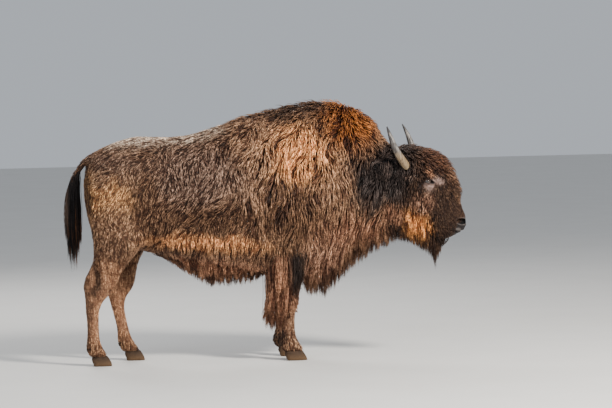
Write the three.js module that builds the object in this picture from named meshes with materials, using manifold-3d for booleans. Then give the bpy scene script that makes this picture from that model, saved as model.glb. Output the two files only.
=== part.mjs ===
// A bison standing still, life size: trunk with hump, neck and turned head, four legs with cloven
// hooves, tail, and the long hair of beard, throat, belly and forelegs as solids of their own.
// Millimetres. +X is towards the nose, +Y to the animal's left, +Z up, and the hooves stand on Z = 0.
import * as THREE from 'three';
import { mergeVertices } from 'three/addons/utils/BufferGeometryUtils.js';
import Module from 'manifold-3d';

const wasm = await Module();
wasm.setup();

// ---- driving dimensions -------------------------------------------------------------------------
const GAP = 0.5; // left between neighbouring solids
const RIGHT = -1;
const LEFT = 1;

const HEAD_TURN = THREE.MathUtils.degToRad(-20); // the head looks a little to the right
const NECK_BEND = { from: 400, to: 740 }; // stretch along X that makes the turn
const HEAD_PITCH = THREE.MathUtils.degToRad(-47); // the head's long axis, nose down
const HEAD_ROOT = { x: 764, z: 1202 }; // where that axis starts, under the poll
const EYE = { s: 227, t: 144, y: 131, radius: 24 };

const HOOF_HEIGHT = 62;
const HALF_CLEFT = 5; // half the cleft between two claws
const HIND_PARTS = { top: 690, hock: 440, fetlock: 140 }; // heights of the cuts in a hind leg
const FORE_PARTS = { top: 548, knee: 385, fetlock: 140 };
const TRUNK_PARTS = { loin: -790, withers: -110, neck: 470 }; // the cuts across the trunk, along X
const NAPE = { x: 745, z: 1350 }; // the cut behind the head runs from here
const THROAT = { x: 800, z: 735 }; // down to here
const TAIL_CUT = 1165; // height where the tail's brush starts

const UP = new THREE.Vector3(0, 0, 1);
const FORWARD = new THREE.Vector3(1, 0, 0);
const ASIDE = new THREE.Vector3(0, 1, 0);

// ---- curves -------------------------------------------------------------------------------------
// Rows of numbers, each led by its station, become a function of the station that passes through
// every row without overshooting between them.
function through(rows) {
  const stations = rows.map((row) => row[0]);
  const last = rows.length - 1;
  const rate = (i, k) => (rows[i + 1][k] - rows[i][k]) / (stations[i + 1] - stations[i]);
  const slopes = rows.map((row, i) =>
    row.map((_, k) => {
      if (i === 0) return rate(0, k);
      if (i === last) return rate(last - 1, k);
      const before = rate(i - 1, k);
      const after = rate(i, k);
      return before * after > 0 ? (2 * before * after) / (before + after) : 0;
    }),
  );
  const rising = stations[last] > stations[0];
  return (station) => {
    let i = 0;
    while (i < last - 1 && (rising ? station > stations[i + 1] : station < stations[i + 1])) i++;
    const span = stations[i + 1] - stations[i];
    const u = THREE.MathUtils.clamp((station - stations[i]) / span, 0, 1);
    const blend = u * u * (3 - 2 * u);
    const leave = span * u * (1 - u) * (1 - u);
    const arrive = span * u * u * (u - 1);
    return rows[i].map(
      (value, k) =>
        value + (rows[i + 1][k] - value) * blend + slopes[i][k] * leave + slopes[i + 1][k] * arrive,
    );
  };
}

const spread = (from, to, count) =>
  Array.from({ length: count }, (_, i) => from + ((to - from) * i) / (count - 1));

// ---- the turn of the neck -----------------------------------------------------------------------
// Everything is drawn with the head straight ahead, and this moves a point to its turned place:
// unmoved behind the bend, along an arc in it, and at the full angle beyond it.
function turnNeck(point) {
  const length = NECK_BEND.to - NECK_BEND.from;
  const radius = length / HEAD_TURN;
  const past = point.x - NECK_BEND.from;
  if (past <= 0) return point;
  const angle = HEAD_TURN * Math.min(1, past / length);
  const onward = Math.max(0, past - length);
  const x = NECK_BEND.from + radius * Math.sin(angle) + onward * Math.cos(angle);
  const y = radius * (1 - Math.cos(angle)) + onward * Math.sin(angle);
  return point.set(x - point.y * Math.sin(angle), y + point.y * Math.cos(angle), point.z);
}

// A cutting plane drawn with the head straight ahead, moved to its turned place.
function turnedPlane(at, normal) {
  const start = turnNeck(at.clone());
  const tip = turnNeck(at.clone().add(normal));
  return { at: start, normal: tip.sub(start).normalize() };
}

// ---- solids -------------------------------------------------------------------------------------
function solid(points, faces) {
  const vertProperties = new Float32Array(points.flatMap((p) => [p.x, p.y, p.z]));
  return new wasm.Manifold(new wasm.Mesh({ numProp: 3, vertProperties, triVerts: new Uint32Array(faces) }));
}

function solidOf(geometry) {
  for (const name of ['normal', 'uv']) geometry.deleteAttribute(name);
  const merged = mergeVertices(geometry, 1e-3);
  return new wasm.Manifold(
    new wasm.Mesh({
      numProp: 3,
      vertProperties: merged.attributes.position.array,
      triVerts: new Uint32Array(merged.index.array),
    }),
  );
}

// Rings of points, all with as many points, become one closed body with a flat face at each end.
function skinOver(rings) {
  const sides = rings[0].length;
  const points = rings.flat();
  const faces = [];
  for (let i = 0; i + 1 < rings.length; i++)
    for (let k = 0; k < sides; k++) {
      const a = i * sides + k;
      const b = i * sides + ((k + 1) % sides);
      faces.push(a, b, a + sides, b, b + sides, a + sides);
    }
  for (const ring of [0, rings.length - 1]) {
    const middle = points.length;
    const centre = new THREE.Vector3();
    for (const point of rings[ring]) centre.addScaledVector(point, 1 / sides);
    points.push(centre);
    for (let k = 0; k < sides; k++) {
      const a = ring * sides + k;
      const b = ring * sides + ((k + 1) % sides);
      faces.push(...(ring === 0 ? [b, a, middle] : [a, b, middle]));
    }
  }
  const made = solid(points, faces);
  if (made.volume() > 0) return made;
  for (let i = 0; i < faces.length; i += 3) [faces[i], faces[i + 1]] = [faces[i + 1], faces[i]];
  return solid(points, faces);
}

// A section is a superellipse: it reaches `over` and `under` its widest line along `rise`, and
// `half` to each side along `aside`. The powers say how full its two halves are.
function sectionPoints(section, sides, grow) {
  const { at, rise, aside = ASIDE, over, under, half, fullOver = 2, fullUnder = fullOver } = section;
  return spread(0, 2 * Math.PI, sides + 1)
    .slice(0, sides)
    .map((turn) => {
      const c = Math.cos(turn);
      const s = Math.sin(turn);
      const power = 2 / (c > 0 ? fullOver : fullUnder);
      const reach = (c > 0 ? over : under) + grow;
      return at
        .clone()
        .addScaledVector(rise, Math.sign(c) * reach * Math.abs(c) ** power)
        .addScaledVector(aside, Math.sign(s) * (half + grow) * Math.abs(s) ** power);
    });
}

function loft(sections, sides, { grow = 0, forms = null } = {}) {
  const rings = sections.map((section) => sectionPoints(section, sides, grow));
  if (forms) rings.flat().forEach(forms);
  rings.flat().forEach(turnNeck);
  return skinOver(rings);
}

// A round tube along a curve, with its radius given along its length.
function tube(path, radius, steps, sides) {
  const frames = path.computeFrenetFrames(steps, false);
  const rings = spread(0, 1, steps + 1).map((u, i) =>
    spread(0, 2 * Math.PI, sides + 1)
      .slice(0, sides)
      .map((turn) =>
        path
          .getPointAt(u)
          .addScaledVector(frames.normals[i], radius(u)[1] * Math.cos(turn))
          .addScaledVector(frames.binormals[i], radius(u)[1] * Math.sin(turn)),
      ),
  );
  rings.flat().forEach(turnNeck);
  return skinOver(rings);
}

// A soft bump or hollow: a point near `centre` moves by `push`, and less with distance.
function swell(point, centre, reach, push) {
  const away = point.distanceTo(centre) / reach;
  if (away < 1) point.addScaledVector(push, (1 - away * away) ** 2);
}

// ---- cutting ------------------------------------------------------------------------------------
// A large block that lies beyond a plane, along its normal.
function beyond({ at, normal }, shift = 0) {
  const size = 4000;
  const block = new THREE.BoxGeometry(size, size, size).translate(0, 0, size / 2 + shift);
  block.applyQuaternion(new THREE.Quaternion().setFromUnitVectors(UP, normal));
  return solidOf(block.translate(at.x, at.y, at.z));
}

const facingBack = ({ at, normal }) => ({ at, normal: normal.clone().negate() });
const levelPlane = (z) => ({ at: new THREE.Vector3(0, 0, z), normal: UP });
const crossPlane = (x) => turnedPlane(new THREE.Vector3(x, 0, 0), FORWARD);

// The two parts of a solid on either side of a plane: first the one before it, then the one beyond.
const split = (whole, plane) => [
  whole.subtract(beyond(plane, -GAP / 2)),
  whole.subtract(beyond(facingBack(plane), -GAP / 2)),
];

const without = (whole, cutters) => cutters.reduce((rest, cutter) => rest.subtract(cutter), whole);

// A cut can leave slivers beside the part that is meant, and they are dropped.
const largest = (cut) => cut.decompose().sort((a, b) => b.volume() - a.volume())[0];

// ---- trunk and neck -----------------------------------------------------------------------------
// Upright sections along X: the top line, the bottom line, the half width, the height of the widest
// line, and how full the section is above and below it.
const TRUNK = through([
  [-1226, 1204, 1050, 60, 1130, 2.0, 2.0],
  [-1205, 1292, 910, 128, 1120, 2.0, 2.0],
  [-1140, 1368, 795, 198, 1120, 2.1, 2.0],
  [-1020, 1424, 732, 244, 1130, 2.1, 2.0],
  [-855, 1459, 720, 266, 1130, 2.0, 2.0],
  [-730, 1447, 670, 276, 1080, 1.9, 2.1],
  [-600, 1452, 620, 296, 1030, 1.8, 2.2],
  [-440, 1487, 585, 318, 990, 1.75, 2.2],
  [-280, 1546, 568, 326, 980, 1.7, 2.2],
  [-120, 1594, 558, 328, 990, 1.65, 2.2],
  [50, 1636, 552, 340, 1020, 1.65, 2.2],
  [200, 1662, 558, 348, 1050, 1.65, 2.1],
  [330, 1670, 595, 334, 1080, 1.7, 2.0],
  [450, 1656, 670, 300, 1100, 1.8, 1.9],
  [560, 1606, 738, 262, 1100, 1.9, 1.9],
  [640, 1546, 772, 234, 1090, 1.9, 1.9],
  [700, 1434, 788, 210, 1080, 2.0, 1.9],
  [750, 1356, 798, 190, 1070, 2.0, 1.9],
  [830, 1310, 810, 168, 1060, 2.0, 2.0],
  [880, 1262, 835, 140, 1050, 2.0, 2.0],
  [905, 1180, 880, 90, 1040, 2.0, 2.0],
]);
const TRUNK_STATIONS = [
  ...spread(-1226, -1140, 4),
  ...spread(-1090, 450, 16),
  ...spread(520, 760, 6),
  ...spread(830, 905, 3),
];

function trunkSection(x) {
  const [, top, bottom, half, widest, fullOver, fullUnder] = TRUNK(x);
  const at = new THREE.Vector3(x, 0, widest);
  return { at, rise: UP, over: top - widest, under: widest - bottom, half, fullOver, fullUnder };
}

function trunkForms(point) {
  for (const side of [RIGHT, LEFT]) {
    const form = (x, y, z, reach, out, up) =>
      swell(point, new THREE.Vector3(x, side * y, z), reach, new THREE.Vector3(0, side * out, up));
    form(-840, 235, 1310, 170, 22, 16); // hip
    form(-640, 300, 1000, 230, -26, 0); // flank
    form(190, 330, 960, 300, 16, 0); // shoulder
  }
}

const trunk = (grow = 0) => loft(TRUNK_STATIONS.map(trunkSection), 22, { grow, forms: trunkForms });

// ---- head ---------------------------------------------------------------------------------------
// Sections square to the head's long axis, at s along it: the reach over and under the axis, the
// half width, how far over the axis the widest line lies, and the fullness above and below it.
const HEAD = through([
  [-110, 118, 120, 110, 20, 2.0, 2.0],
  [-60, 196, 160, 140, 50, 2.0, 2.0],
  [0, 238, 185, 166, 70, 2.0, 2.0],
  [65, 278, 198, 177, 85, 2.1, 1.9],
  [124, 311, 204, 178, 95, 2.2, 1.8],
  [174, 325, 206, 171, 100, 2.2, 1.8],
  [228, 319, 204, 160, 100, 2.1, 1.8],
  [278, 306, 198, 146, 90, 2.0, 1.8],
  [328, 287, 188, 129, 78, 2.0, 1.8],
  [378, 264, 172, 111, 62, 2.0, 1.9],
  [419, 240, 154, 97, 50, 2.0, 1.9],
  [440, 204, 143, 88, 45, 2.0, 2.0],
  [482, 170, 120, 78, 40, 2.1, 2.1],
  [530, 154, 90, 78, 36, 2.3, 2.2],
  [557, 138, 66, 80, 36, 2.4, 2.3],
  [572, 127, 42, 78, 44, 2.4, 2.2],
  [584, 115, -16, 70, 56, 2.3, 2.0],
  [595, 101, -44, 54, 70, 2.2, 2.0],
  [603, 86, -66, 26, 76, 2.0, 2.0],
]);
const HEAD_STATIONS = [...spread(-110, 370, 10), ...spread(400, 524, 5), 548, 566, 580, 592, 603];
const HEAD_ALONG = new THREE.Vector3(Math.cos(HEAD_PITCH), 0, Math.sin(HEAD_PITCH));
const HEAD_RISE = new THREE.Vector3(-Math.sin(HEAD_PITCH), 0, Math.cos(HEAD_PITCH));

// A place on the head: s along its axis, t over it, y to the animal's left.
function onHead(s, t, y = 0) {
  return new THREE.Vector3(HEAD_ROOT.x, y, HEAD_ROOT.z)
    .addScaledVector(HEAD_ALONG, s)
    .addScaledVector(HEAD_RISE, t);
}

function headSection(s) {
  const [, over, under, half, widest, fullOver, fullUnder] = HEAD(s);
  const at = onHead(s, widest);
  return { at, rise: HEAD_RISE, over: over - widest, under: under + widest, half, fullOver, fullUnder };
}

function headForms(point) {
  for (const side of [RIGHT, LEFT]) {
    const form = (s, t, y, reach, along, up, out) => {
      const push = new THREE.Vector3(0, side * out, 0);
      push.addScaledVector(HEAD_ALONG, along).addScaledVector(HEAD_RISE, up);
      swell(point, onHead(s, t, side * y), reach, push);
    };
    form(188, 205, 146, 72, 0, 0, 12); // brow
    form(EYE.s, EYE.t, 150, 60, 0, 0, -12); // eye socket
    form(290, 60, 130, 92, 0, 0, 10); // cheek bone
    form(410, 90, 100, 84, 0, 0, -10); // hollow of the face
    form(553, 104, 76, 44, 3, 3, 9); // wing of the nostril
    form(576, 112, 60, 24, -10, 0, -12); // nostril
    form(494, -18, 80, 36, 0, 0, -8); // corner of the mouth
  }
}

const headLoft = (grow = 0) => loft(HEAD_STATIONS.map(headSection), 22, { grow, forms: headForms });

// A horn leaves the skull sideways and curls back and up.
function horn(side) {
  const path = new THREE.CatmullRomCurve3([
    onHead(105, 82, side * 100),
    onHead(84, 110, side * 146),
    onHead(40, 127, side * 190),
    onHead(-44, 152, side * 232),
    onHead(-116, 183, side * 238),
    onHead(-196, 212, side * 216),
  ]);
  const radius = through([
    [0, 28],
    [0.45, 25],
    [0.7, 19],
    [0.88, 11],
    [1, 4],
  ]);
  return tube(path, radius, 10, 10);
}

// An ear with its hair is a leaf: sections along it from the root, with their height and thickness.
function ear(side) {
  const root = onHead(35, 62, side * 134);
  const tip = onHead(-78, -38, side * 252);
  const aside = tip.clone().sub(root).cross(UP).normalize();
  const shape = through([
    [0, 36, 24],
    [0.25, 58, 34],
    [0.55, 64, 32],
    [0.82, 44, 22],
    [1, 10, 8],
  ]);
  const sections = spread(0, 1, 7).map((u) => {
    const [, high, thick] = shape(u);
    return { at: root.clone().lerp(tip, u), rise: UP, aside, over: high, under: high, half: thick };
  });
  return loft(sections, 12);
}

function eye(side, grow = 0) {
  const at = turnNeck(onHead(EYE.s, EYE.t, side * EYE.y));
  const ball = new THREE.SphereGeometry(EYE.radius + grow, 12, 7);
  return solidOf(ball.rotateX(Math.PI / 2).translate(at.x, at.y, at.z));
}

// ---- legs ---------------------------------------------------------------------------------------
// Level sections down a leg: the height, the front and back edge in X, how far out from the middle
// of the body, the half width and the fullness.
const HIND_LEG = through([
  [1140, -880, -1205, 128, 98, 2],
  [980, -824, -1204, 148, 116, 2],
  [840, -812, -1181, 160, 106, 2],
  [750, -840, -1169, 166, 92, 2],
  [670, -922, -1177, 166, 74, 2],
  [590, -985, -1218, 164, 60, 2.1],
  [535, -1010, -1243, 162, 54, 2.3],
  [475, -1040, -1240, 160, 52, 2.4],
  [420, -1104, -1229, 158, 47, 2.3],
  [350, -1137, -1229, 156, 41, 2.2],
  [230, -1140, -1222, 154, 39, 2.1],
  [150, -1133, -1228, 153, 47, 2.2],
  [105, -1118, -1229, 153, 53, 2.3],
  [80, -1104, -1212, 153, 52, 2.3],
  [60, -1092, -1200, 153, 50, 2.3],
]);
const FORE_LEG = through([
  [980, 250, -90, 200, 88, 2],
  [840, 215, -92, 196, 88, 2],
  [720, 178, -68, 180, 78, 2],
  [600, 150, -38, 166, 66, 2.1],
  [480, 134, -12, 154, 58, 2.2],
  [400, 132, 2, 148, 55, 2.4],
  [340, 116, 10, 145, 48, 2.3],
  [250, 103, 14, 143, 41, 2.1],
  [170, 106, 8, 142, 46, 2.2],
  [115, 120, -10, 142, 54, 2.3],
  [80, 142, 8, 142, 53, 2.3],
  [60, 154, 24, 142, 51, 2.3],
]);

// How far each leg is set forwards from the one above, by height.
const SQUARE = () => [0, 0];
const RIGHT_HIND = () => [0, -12];
const LEFT_HIND = through([
  [0, 208],
  [120, 198],
  [520, 117],
  [760, 38],
  [1080, 0],
]);
const LEFT_FORE = through([
  [0, -20],
  [220, -18],
  [420, 12],
  [900, 0],
]);

const HIND_HEIGHTS = [...spread(1140, 670, 5), ...spread(610, 410, 5), 350, 230, 150, 105, HOOF_HEIGHT + GAP];
const FORE_HEIGHTS = [980, 800, 640, 500, 430, 385, 335, 250, 170, 115, 85, HOOF_HEIGHT + GAP];
const hind = { rows: HIND_LEG, heights: HIND_HEIGHTS, toe: -1062, hoofLength: 132, dewclaws: 108 };
const fore = { rows: FORE_LEG, heights: FORE_HEIGHTS, toe: 176, hoofLength: 144, dewclaws: 104 };
const LEGS = [
  { ...hind, name: 'hind_leg_right', side: RIGHT, stance: RIGHT_HIND },
  { ...hind, name: 'hind_leg_left', side: LEFT, stance: LEFT_HIND },
  { ...fore, name: 'fore_leg_right', side: RIGHT, stance: SQUARE },
  { ...fore, name: 'fore_leg_left', side: LEFT, stance: LEFT_FORE },
];

// A level section between a front and a back edge, moved with its leg's stance.
function levelSection(leg, z, front, back, out, half, full = 2) {
  const at = new THREE.Vector3((front + back) / 2 + leg.stance(z)[1], leg.side * out, z);
  const reach = (front - back) / 2;
  return { at, rise: FORWARD, over: reach, under: reach, half, fullOver: full };
}

const legLoft = (leg, grow = 0) =>
  loft(
    leg.heights.map((z) => levelSection(leg, z, ...leg.rows(z).slice(1))),
    10,
    { grow },
  );

// One claw of a cloven hoof: level sections from the sole up to the coronet, each with how far its
// toe lies back, how much shorter it is and its width. It is blunt behind and pointed at the toe.
const CLAW = through([
  [0, 0, 0, 48],
  [22, 6, 5, 49],
  [44, 16, 14, 47],
  [HOOF_HEIGHT, 27, 27, 42],
]);

function claw(leg, inner) {
  const out = leg.rows(HOOF_HEIGHT)[3];
  const away = inner ? -leg.side : leg.side;
  const sections = spread(0, HOOF_HEIGHT, 4).map((z) => {
    const [, back, shorter, width] = CLAW(z);
    const reach = (leg.hoofLength - shorter) / 2;
    const toe = leg.toe + leg.stance(0)[1] - back;
    const at = new THREE.Vector3(toe - reach, leg.side * out + away * (HALF_CLEFT + width / 2), z);
    return { at, rise: FORWARD, over: reach, under: reach, half: width / 2, fullOver: 1.9, fullUnder: 2.8 };
  });
  return loft(sections, 12);
}

// One of the two small claws behind a fetlock.
function dewclaw(leg, inner) {
  const [, , back, out] = leg.rows(leg.dewclaws);
  const away = inner ? -leg.side : leg.side;
  const x = back + leg.stance(leg.dewclaws)[1];
  const sections = spread(-1, 1, 3).map((u) => {
    const round = Math.sqrt(1.1 - u * u);
    const at = new THREE.Vector3(x - 4 - 3 * u, leg.side * out + away * 24, leg.dewclaws - 20 * u);
    return { at, rise: FORWARD, over: 15 * round, under: 15 * round, half: 12 * round };
  });
  return loft(sections, 6);
}

// ---- tail ---------------------------------------------------------------------------------------
const TAIL_PATH = new THREE.CatmullRomCurve3([
  new THREE.Vector3(-1115, 0, 1338),
  new THREE.Vector3(-1176, 0, 1326),
  new THREE.Vector3(-1226, 0, 1292),
  new THREE.Vector3(-1266, 0, 1240),
  new THREE.Vector3(-1292, 0, 1180),
  new THREE.Vector3(-1298, 0, 1140),
]);
const TAIL_RADIUS = through([
  [0, 40],
  [0.3, 30],
  [0.7, 25],
  [1, 24],
]);
// Level sections of the brush of hair: height, front and back edge, and half width.
const BRUSH = through([
  [1178, -1272, -1322, 24],
  [1100, -1260, -1348, 34],
  [980, -1244, -1365, 42],
  [880, -1238, -1362, 44],
  [760, -1251, -1346, 38],
  [660, -1268, -1332, 27],
  [594, -1300, -1326, 8],
]);

function tail() {
  const sections = spread(1178, 594, 8).map((z) => {
    const [, front, back, half] = BRUSH(z);
    return levelSection({ stance: SQUARE, side: 0 }, z, front, back, 0, half);
  });
  return tube(TAIL_PATH, TAIL_RADIUS, 7, 10).add(loft(sections, 10));
}

// ---- long hair ----------------------------------------------------------------------------------
// Upright sections of hanging hair along X: its lower edge, its half width, and the height of its
// widest line, which lies inside the body that it hangs from.
function hangingHair(rows, stations, sides, grow) {
  const shape = through(rows);
  const sections = stations.map((x) => {
    const [, low, half, widest] = shape(x);
    const at = new THREE.Vector3(x, 0, widest);
    return { at, rise: UP, over: 30, under: widest - low, half, fullOver: 2, fullUnder: 1.7 };
  });
  return loft(sections, sides, { grow });
}

const bellyHair = (grow = 0) =>
  hangingHair(
    [
      [-780, 690, 60, 760],
      [-690, 642, 110, 720],
      [-600, 570, 140, 680],
      [-500, 502, 150, 660],
      [-414, 458, 150, 650],
      [-340, 474, 152, 650],
      [-240, 472, 150, 650],
      [-150, 488, 140, 650],
      [-70, 534, 110, 650],
    ],
    spread(-780, -70, 11),
    12,
    grow,
  );

const throatHair = (grow = 0) =>
  hangingHair(
    [
      [170, 420, 110, 680],
      [220, 386, 150, 720],
      [310, 376, 158, 770],
      [370, 432, 156, 810],
      [450, 514, 148, 840],
      [560, 606, 130, 880],
      [660, 672, 112, 900],
      [740, 712, 98, 910],
      [THROAT.x + 4, 738, 92, 910],
    ],
    [170, 205, 250, 310, 370, 440, 510, 580, 650, 720, THROAT.x],
    14,
    grow,
  );

const beardHair = (grow = 0) =>
  hangingHair(
    [
      [THROAT.x - 6, 738, 88, 880],
      [872, 722, 88, 870],
      [937, 682, 84, 850],
      [1000, 640, 62, 850],
      [1022, 598, 46, 840],
      [1036, 545, 30, 830],
      [1050, 604, 30, 820],
      [1066, 640, 30, 810],
      [1090, 700, 28, 800],
      [1112, 752, 24, 790],
    ],
    [THROAT.x, 850, 905, 955, 1000, 1022, 1036, 1050, 1070, 1092, 1112],
    12,
    grow,
  );

// Level sections of the hair on a foreleg, longest behind it, like the leg's own.
const CHAPS = through([
  [740, 210, -50, 186, 70],
  [640, 206, -60, 178, 96],
  [540, 188, -74, 166, 102],
  [440, 158, -96, 156, 96],
  [360, 134, -106, 150, 86],
  [300, 116, -94, 147, 70],
  [242, 84, -72, 146, 48],
  [182, 4, -50, 146, 18],
]);

const chaps = (leg) =>
  loft(
    [740, 620, 520, 430, 340, 262, 182].map((z) => levelSection(leg, z, ...CHAPS(z).slice(1))),
    10,
  );

// ---- joining and parting ------------------------------------------------------------------------
const nodes = new Map();
const add = (name, made) => nodes.set(name, largest(made));
const bySide = (name, side) => `${name}_${side === RIGHT ? 'right' : 'left'}`;

// The flesh is joined to one body, so that the parts fit each other wherever it is cut.
const flesh = LEGS.reduce((sum, leg) => sum.add(legLoft(leg)), trunk().add(headLoft()));
const grownFlesh = [trunk(GAP), headLoft(GAP), ...LEGS.map((leg) => legLoft(leg, GAP))];

const napeSlope = new THREE.Vector3(NAPE.x - THROAT.x, 0, NAPE.z - THROAT.z).normalize();
const nape = turnedPlane(new THREE.Vector3(THROAT.x, 0, THROAT.z), ASIDE.clone().cross(napeSlope));
const [behindHead, head] = split(flesh, nape);
const [behindNeck, neck] = split(behindHead, crossPlane(TRUNK_PARTS.neck));
const [behindWithers, forehand] = split(behindNeck, crossPlane(TRUNK_PARTS.withers));
const [hindquarters, barrel] = split(behindWithers, crossPlane(TRUNK_PARTS.loin));

// Takes one pair of legs off its end of the body and parts each leg at two joints.
function partLegs(whole, trunkName, legs, cuts, lengthNames) {
  const [below, above] = split(whole, levelPlane(cuts[0]));
  add(trunkName, above);
  for (const leg of legs) {
    const ownSide = { at: new THREE.Vector3(), normal: ASIDE.clone().multiplyScalar(-leg.side) };
    let rest = largest(below.subtract(beyond(ownSide)));
    for (const [i, cut] of cuts.slice(1).entries()) {
      const [lower, upper] = split(rest, levelPlane(cut));
      add(`${leg.name}_${lengthNames[i]}`, upper);
      rest = lower;
    }
    add(`${leg.name}_${lengthNames.at(-1)}`, rest);
  }
}

partLegs(hindquarters, 'rump', LEGS.slice(0, 2), Object.values(HIND_PARTS), ['shank', 'cannon', 'pastern']);
partLegs(forehand, 'shoulders', LEGS.slice(2), Object.values(FORE_PARTS), ['forearm', 'cannon', 'pastern']);
add('barrel', barrel);
add('neck', neck);
add('head', without(head, [eye(RIGHT, GAP), eye(LEFT, GAP)]));

const hairCutters = [throatHair(GAP), bellyHair(GAP)];
add('throat_hair', without(throatHair().subtract(beyond(nape, -GAP)), grownFlesh));
add('belly_hair', without(bellyHair(), grownFlesh));
add('beard', without(beardHair().subtract(beyond(facingBack(nape), -GAP)), grownFlesh));
for (const side of [RIGHT, LEFT]) {
  const foreleg = LEGS.slice(2).find((leg) => leg.side === side);
  add(bySide('horn', side), without(horn(side), grownFlesh));
  add(bySide('ear', side), without(ear(side), grownFlesh));
  add(bySide('eye', side), eye(side));
  add(bySide('foreleg_hair', side), without(chaps(foreleg), [...grownFlesh, ...hairCutters]));
}
for (const leg of LEGS)
  for (const inner of [true, false]) {
    const which = inner ? 'inner' : 'outer';
    add(`${leg.name}_claw_${which}`, claw(leg, inner));
    add(`${leg.name}_dewclaw_${which}`, without(dewclaw(leg, inner), grownFlesh));
  }
const [brush, dock] = split(tail().subtract(trunk(GAP)), levelPlane(TAIL_CUT));
add('tail_dock', dock);
add('tail_brush', brush);

// ---- colours and the model ----------------------------------------------------------------------
const LOOKS = [
  [/^horn/, { color: 0x8d8676, roughness: 0.45, metalness: 0 }],
  [/^eye/, { color: 0x120c08, roughness: 0.1, metalness: 0 }],
  [/claw/, { color: 0x2a2420, roughness: 0.6, metalness: 0 }],
  [/^head|^ear|^beard/, { color: 0x35221a, roughness: 0.9, metalness: 0 }],
  [/^tail/, { color: 0x1f1713, roughness: 0.8, metalness: 0 }],
  [/pastern|cannon/, { color: 0x6e4d33, roughness: 0.85, metalness: 0 }],
  [/hair/, { color: 0x4a2d1c, roughness: 0.9, metalness: 0 }],
  [/./, { color: 0x5b3a22, roughness: 0.9, metalness: 0 }],
];

function meshOf(name, made) {
  const { vertProperties, triVerts } = made.getMesh();
  const geometry = new THREE.BufferGeometry();
  geometry.setAttribute('position', new THREE.BufferAttribute(vertProperties, 3));
  geometry.setIndex(new THREE.BufferAttribute(triVerts, 1));
  geometry.computeVertexNormals();
  const [, look] = LOOKS.find(([pattern]) => pattern.test(name));
  const mesh = new THREE.Mesh(geometry, new THREE.MeshStandardMaterial(look));
  mesh.name = name;
  return mesh;
}

const bison = new THREE.Group();
for (const [name, made] of nodes) bison.add(meshOf(name, made));

// The origin is on the ground under the middle of the whole animal.
const box = new THREE.Box3().setFromObject(bison);
bison.position.set(-(box.min.x + box.max.x) / 2, -(box.min.y + box.max.y) / 2, -box.min.z);

export default bison;
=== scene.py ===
"""A bison standing still, life size: hide, coat, long hair, horns, hooves and eyes.

Metres. +X is towards the nose, +Y to the animal's left, +Z up, and the hooves stand on Z = 0.
"""
import math

import bpy
import numpy as np
from mathutils import Matrix, Vector
from mathutils.bvhtree import BVHTree
from mathutils.kdtree import KDTree


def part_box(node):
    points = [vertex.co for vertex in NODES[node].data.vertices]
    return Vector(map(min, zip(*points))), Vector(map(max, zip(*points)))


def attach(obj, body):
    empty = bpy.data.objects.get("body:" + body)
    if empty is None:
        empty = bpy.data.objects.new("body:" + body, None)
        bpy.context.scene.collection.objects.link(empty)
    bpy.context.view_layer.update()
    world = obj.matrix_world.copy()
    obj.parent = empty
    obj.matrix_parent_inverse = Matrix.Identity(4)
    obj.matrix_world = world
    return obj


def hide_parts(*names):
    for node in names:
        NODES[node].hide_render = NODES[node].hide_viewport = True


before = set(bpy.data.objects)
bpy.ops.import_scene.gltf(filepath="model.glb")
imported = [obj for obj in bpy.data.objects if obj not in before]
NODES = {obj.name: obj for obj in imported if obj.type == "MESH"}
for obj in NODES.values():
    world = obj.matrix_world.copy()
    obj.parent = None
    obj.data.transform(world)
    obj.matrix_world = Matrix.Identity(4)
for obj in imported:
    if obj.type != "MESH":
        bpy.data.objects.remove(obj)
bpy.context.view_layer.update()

# ---- sizes ----------------------------------------------------------------------------------------
UP = Vector((0, 0, 1))
HIDE_VOXEL = 0.0124  # grid on which the flesh is made one skin
OVERLAP = 0.0012  # how far the pieces of flesh are grown to meet
HORN_VOXEL = 0.0024
HOOF_VOXEL = 0.0034
HOOF_FULL = 0.0018  # what the smoothing took off the hooves
DEWCLAW_IN = 0.017  # how far the dewclaws sit into the hair behind the foot

HEAD_PITCH = math.radians(-47)  # the head's long axis, nose down
EYE_ALONG, EYE_OVER = 0.227, 0.144  # the eyes on that axis and over it
EYE_RADIUS = 0.024
EYE_TILT = math.radians(30)  # the slit between the lids, against the head's axis
EYE_LONG, EYE_HIGH = 0.034, 0.0115  # half the slit
LID = 0.0035  # how thick a lid lies over the eyeball
NOSTRIL_ALONG, NOSTRIL_OVER = 0.556, 0.112  # the middle of a nostril, likewise
EAR_COAT, TAIL_COAT, FOOT_COAT = 0.009, 0.004, 0.003  # how deep the coat is there
HOOF_COLLAR = -0.003  # the hide stands out over the tops of the hooves
LEG_MIDDLE = 0.160  # how far aside the middle of a hind leg is
HEEL_HOLLOW = 0.013  # how deep the hollow before a heel cord is
TAIL_CORE = 0.26  # how long the core is that runs down from the dock into the brush
TAIL_GAP_TOP, TAIL_GAP_SLOPE = 1.276, 0.51  # the gap between the tail and the rump, and how it leans
SOLE = 0.0025  # the hooves are flat below this height
DEWCLAW_HEIGHT = 0.072  # where the dewclaws begin
PUPIL_DIP = 0.5  # how far the long pupil dips towards the nose

CAMERA_TARGET = Vector((0.27386, 0, 0.992))
CAMERA_AZIMUTH, CAMERA_ELEVATION, CAMERA_ROLL = (math.radians(a) for a in (-5.0, 3.2, 1.2))
CAMERA_DISTANCE = 20.0
CAMERA_LENS = 182.35
FLOOR_SIZE = 60.0


def middle(node):
    low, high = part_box(node)
    return (low + high) / 2


def turned(first, second, angle):
    """Two directions at right angles turned together, the first towards the second, or a place's
    distances along two directions that are turned so."""
    return (
        first * np.cos(angle) + second * np.sin(angle),
        second * np.cos(angle) - first * np.sin(angle),
    )


def mix(share, before, after):
    """A value turning into another."""
    return before * (1 - share) + after * share


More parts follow.
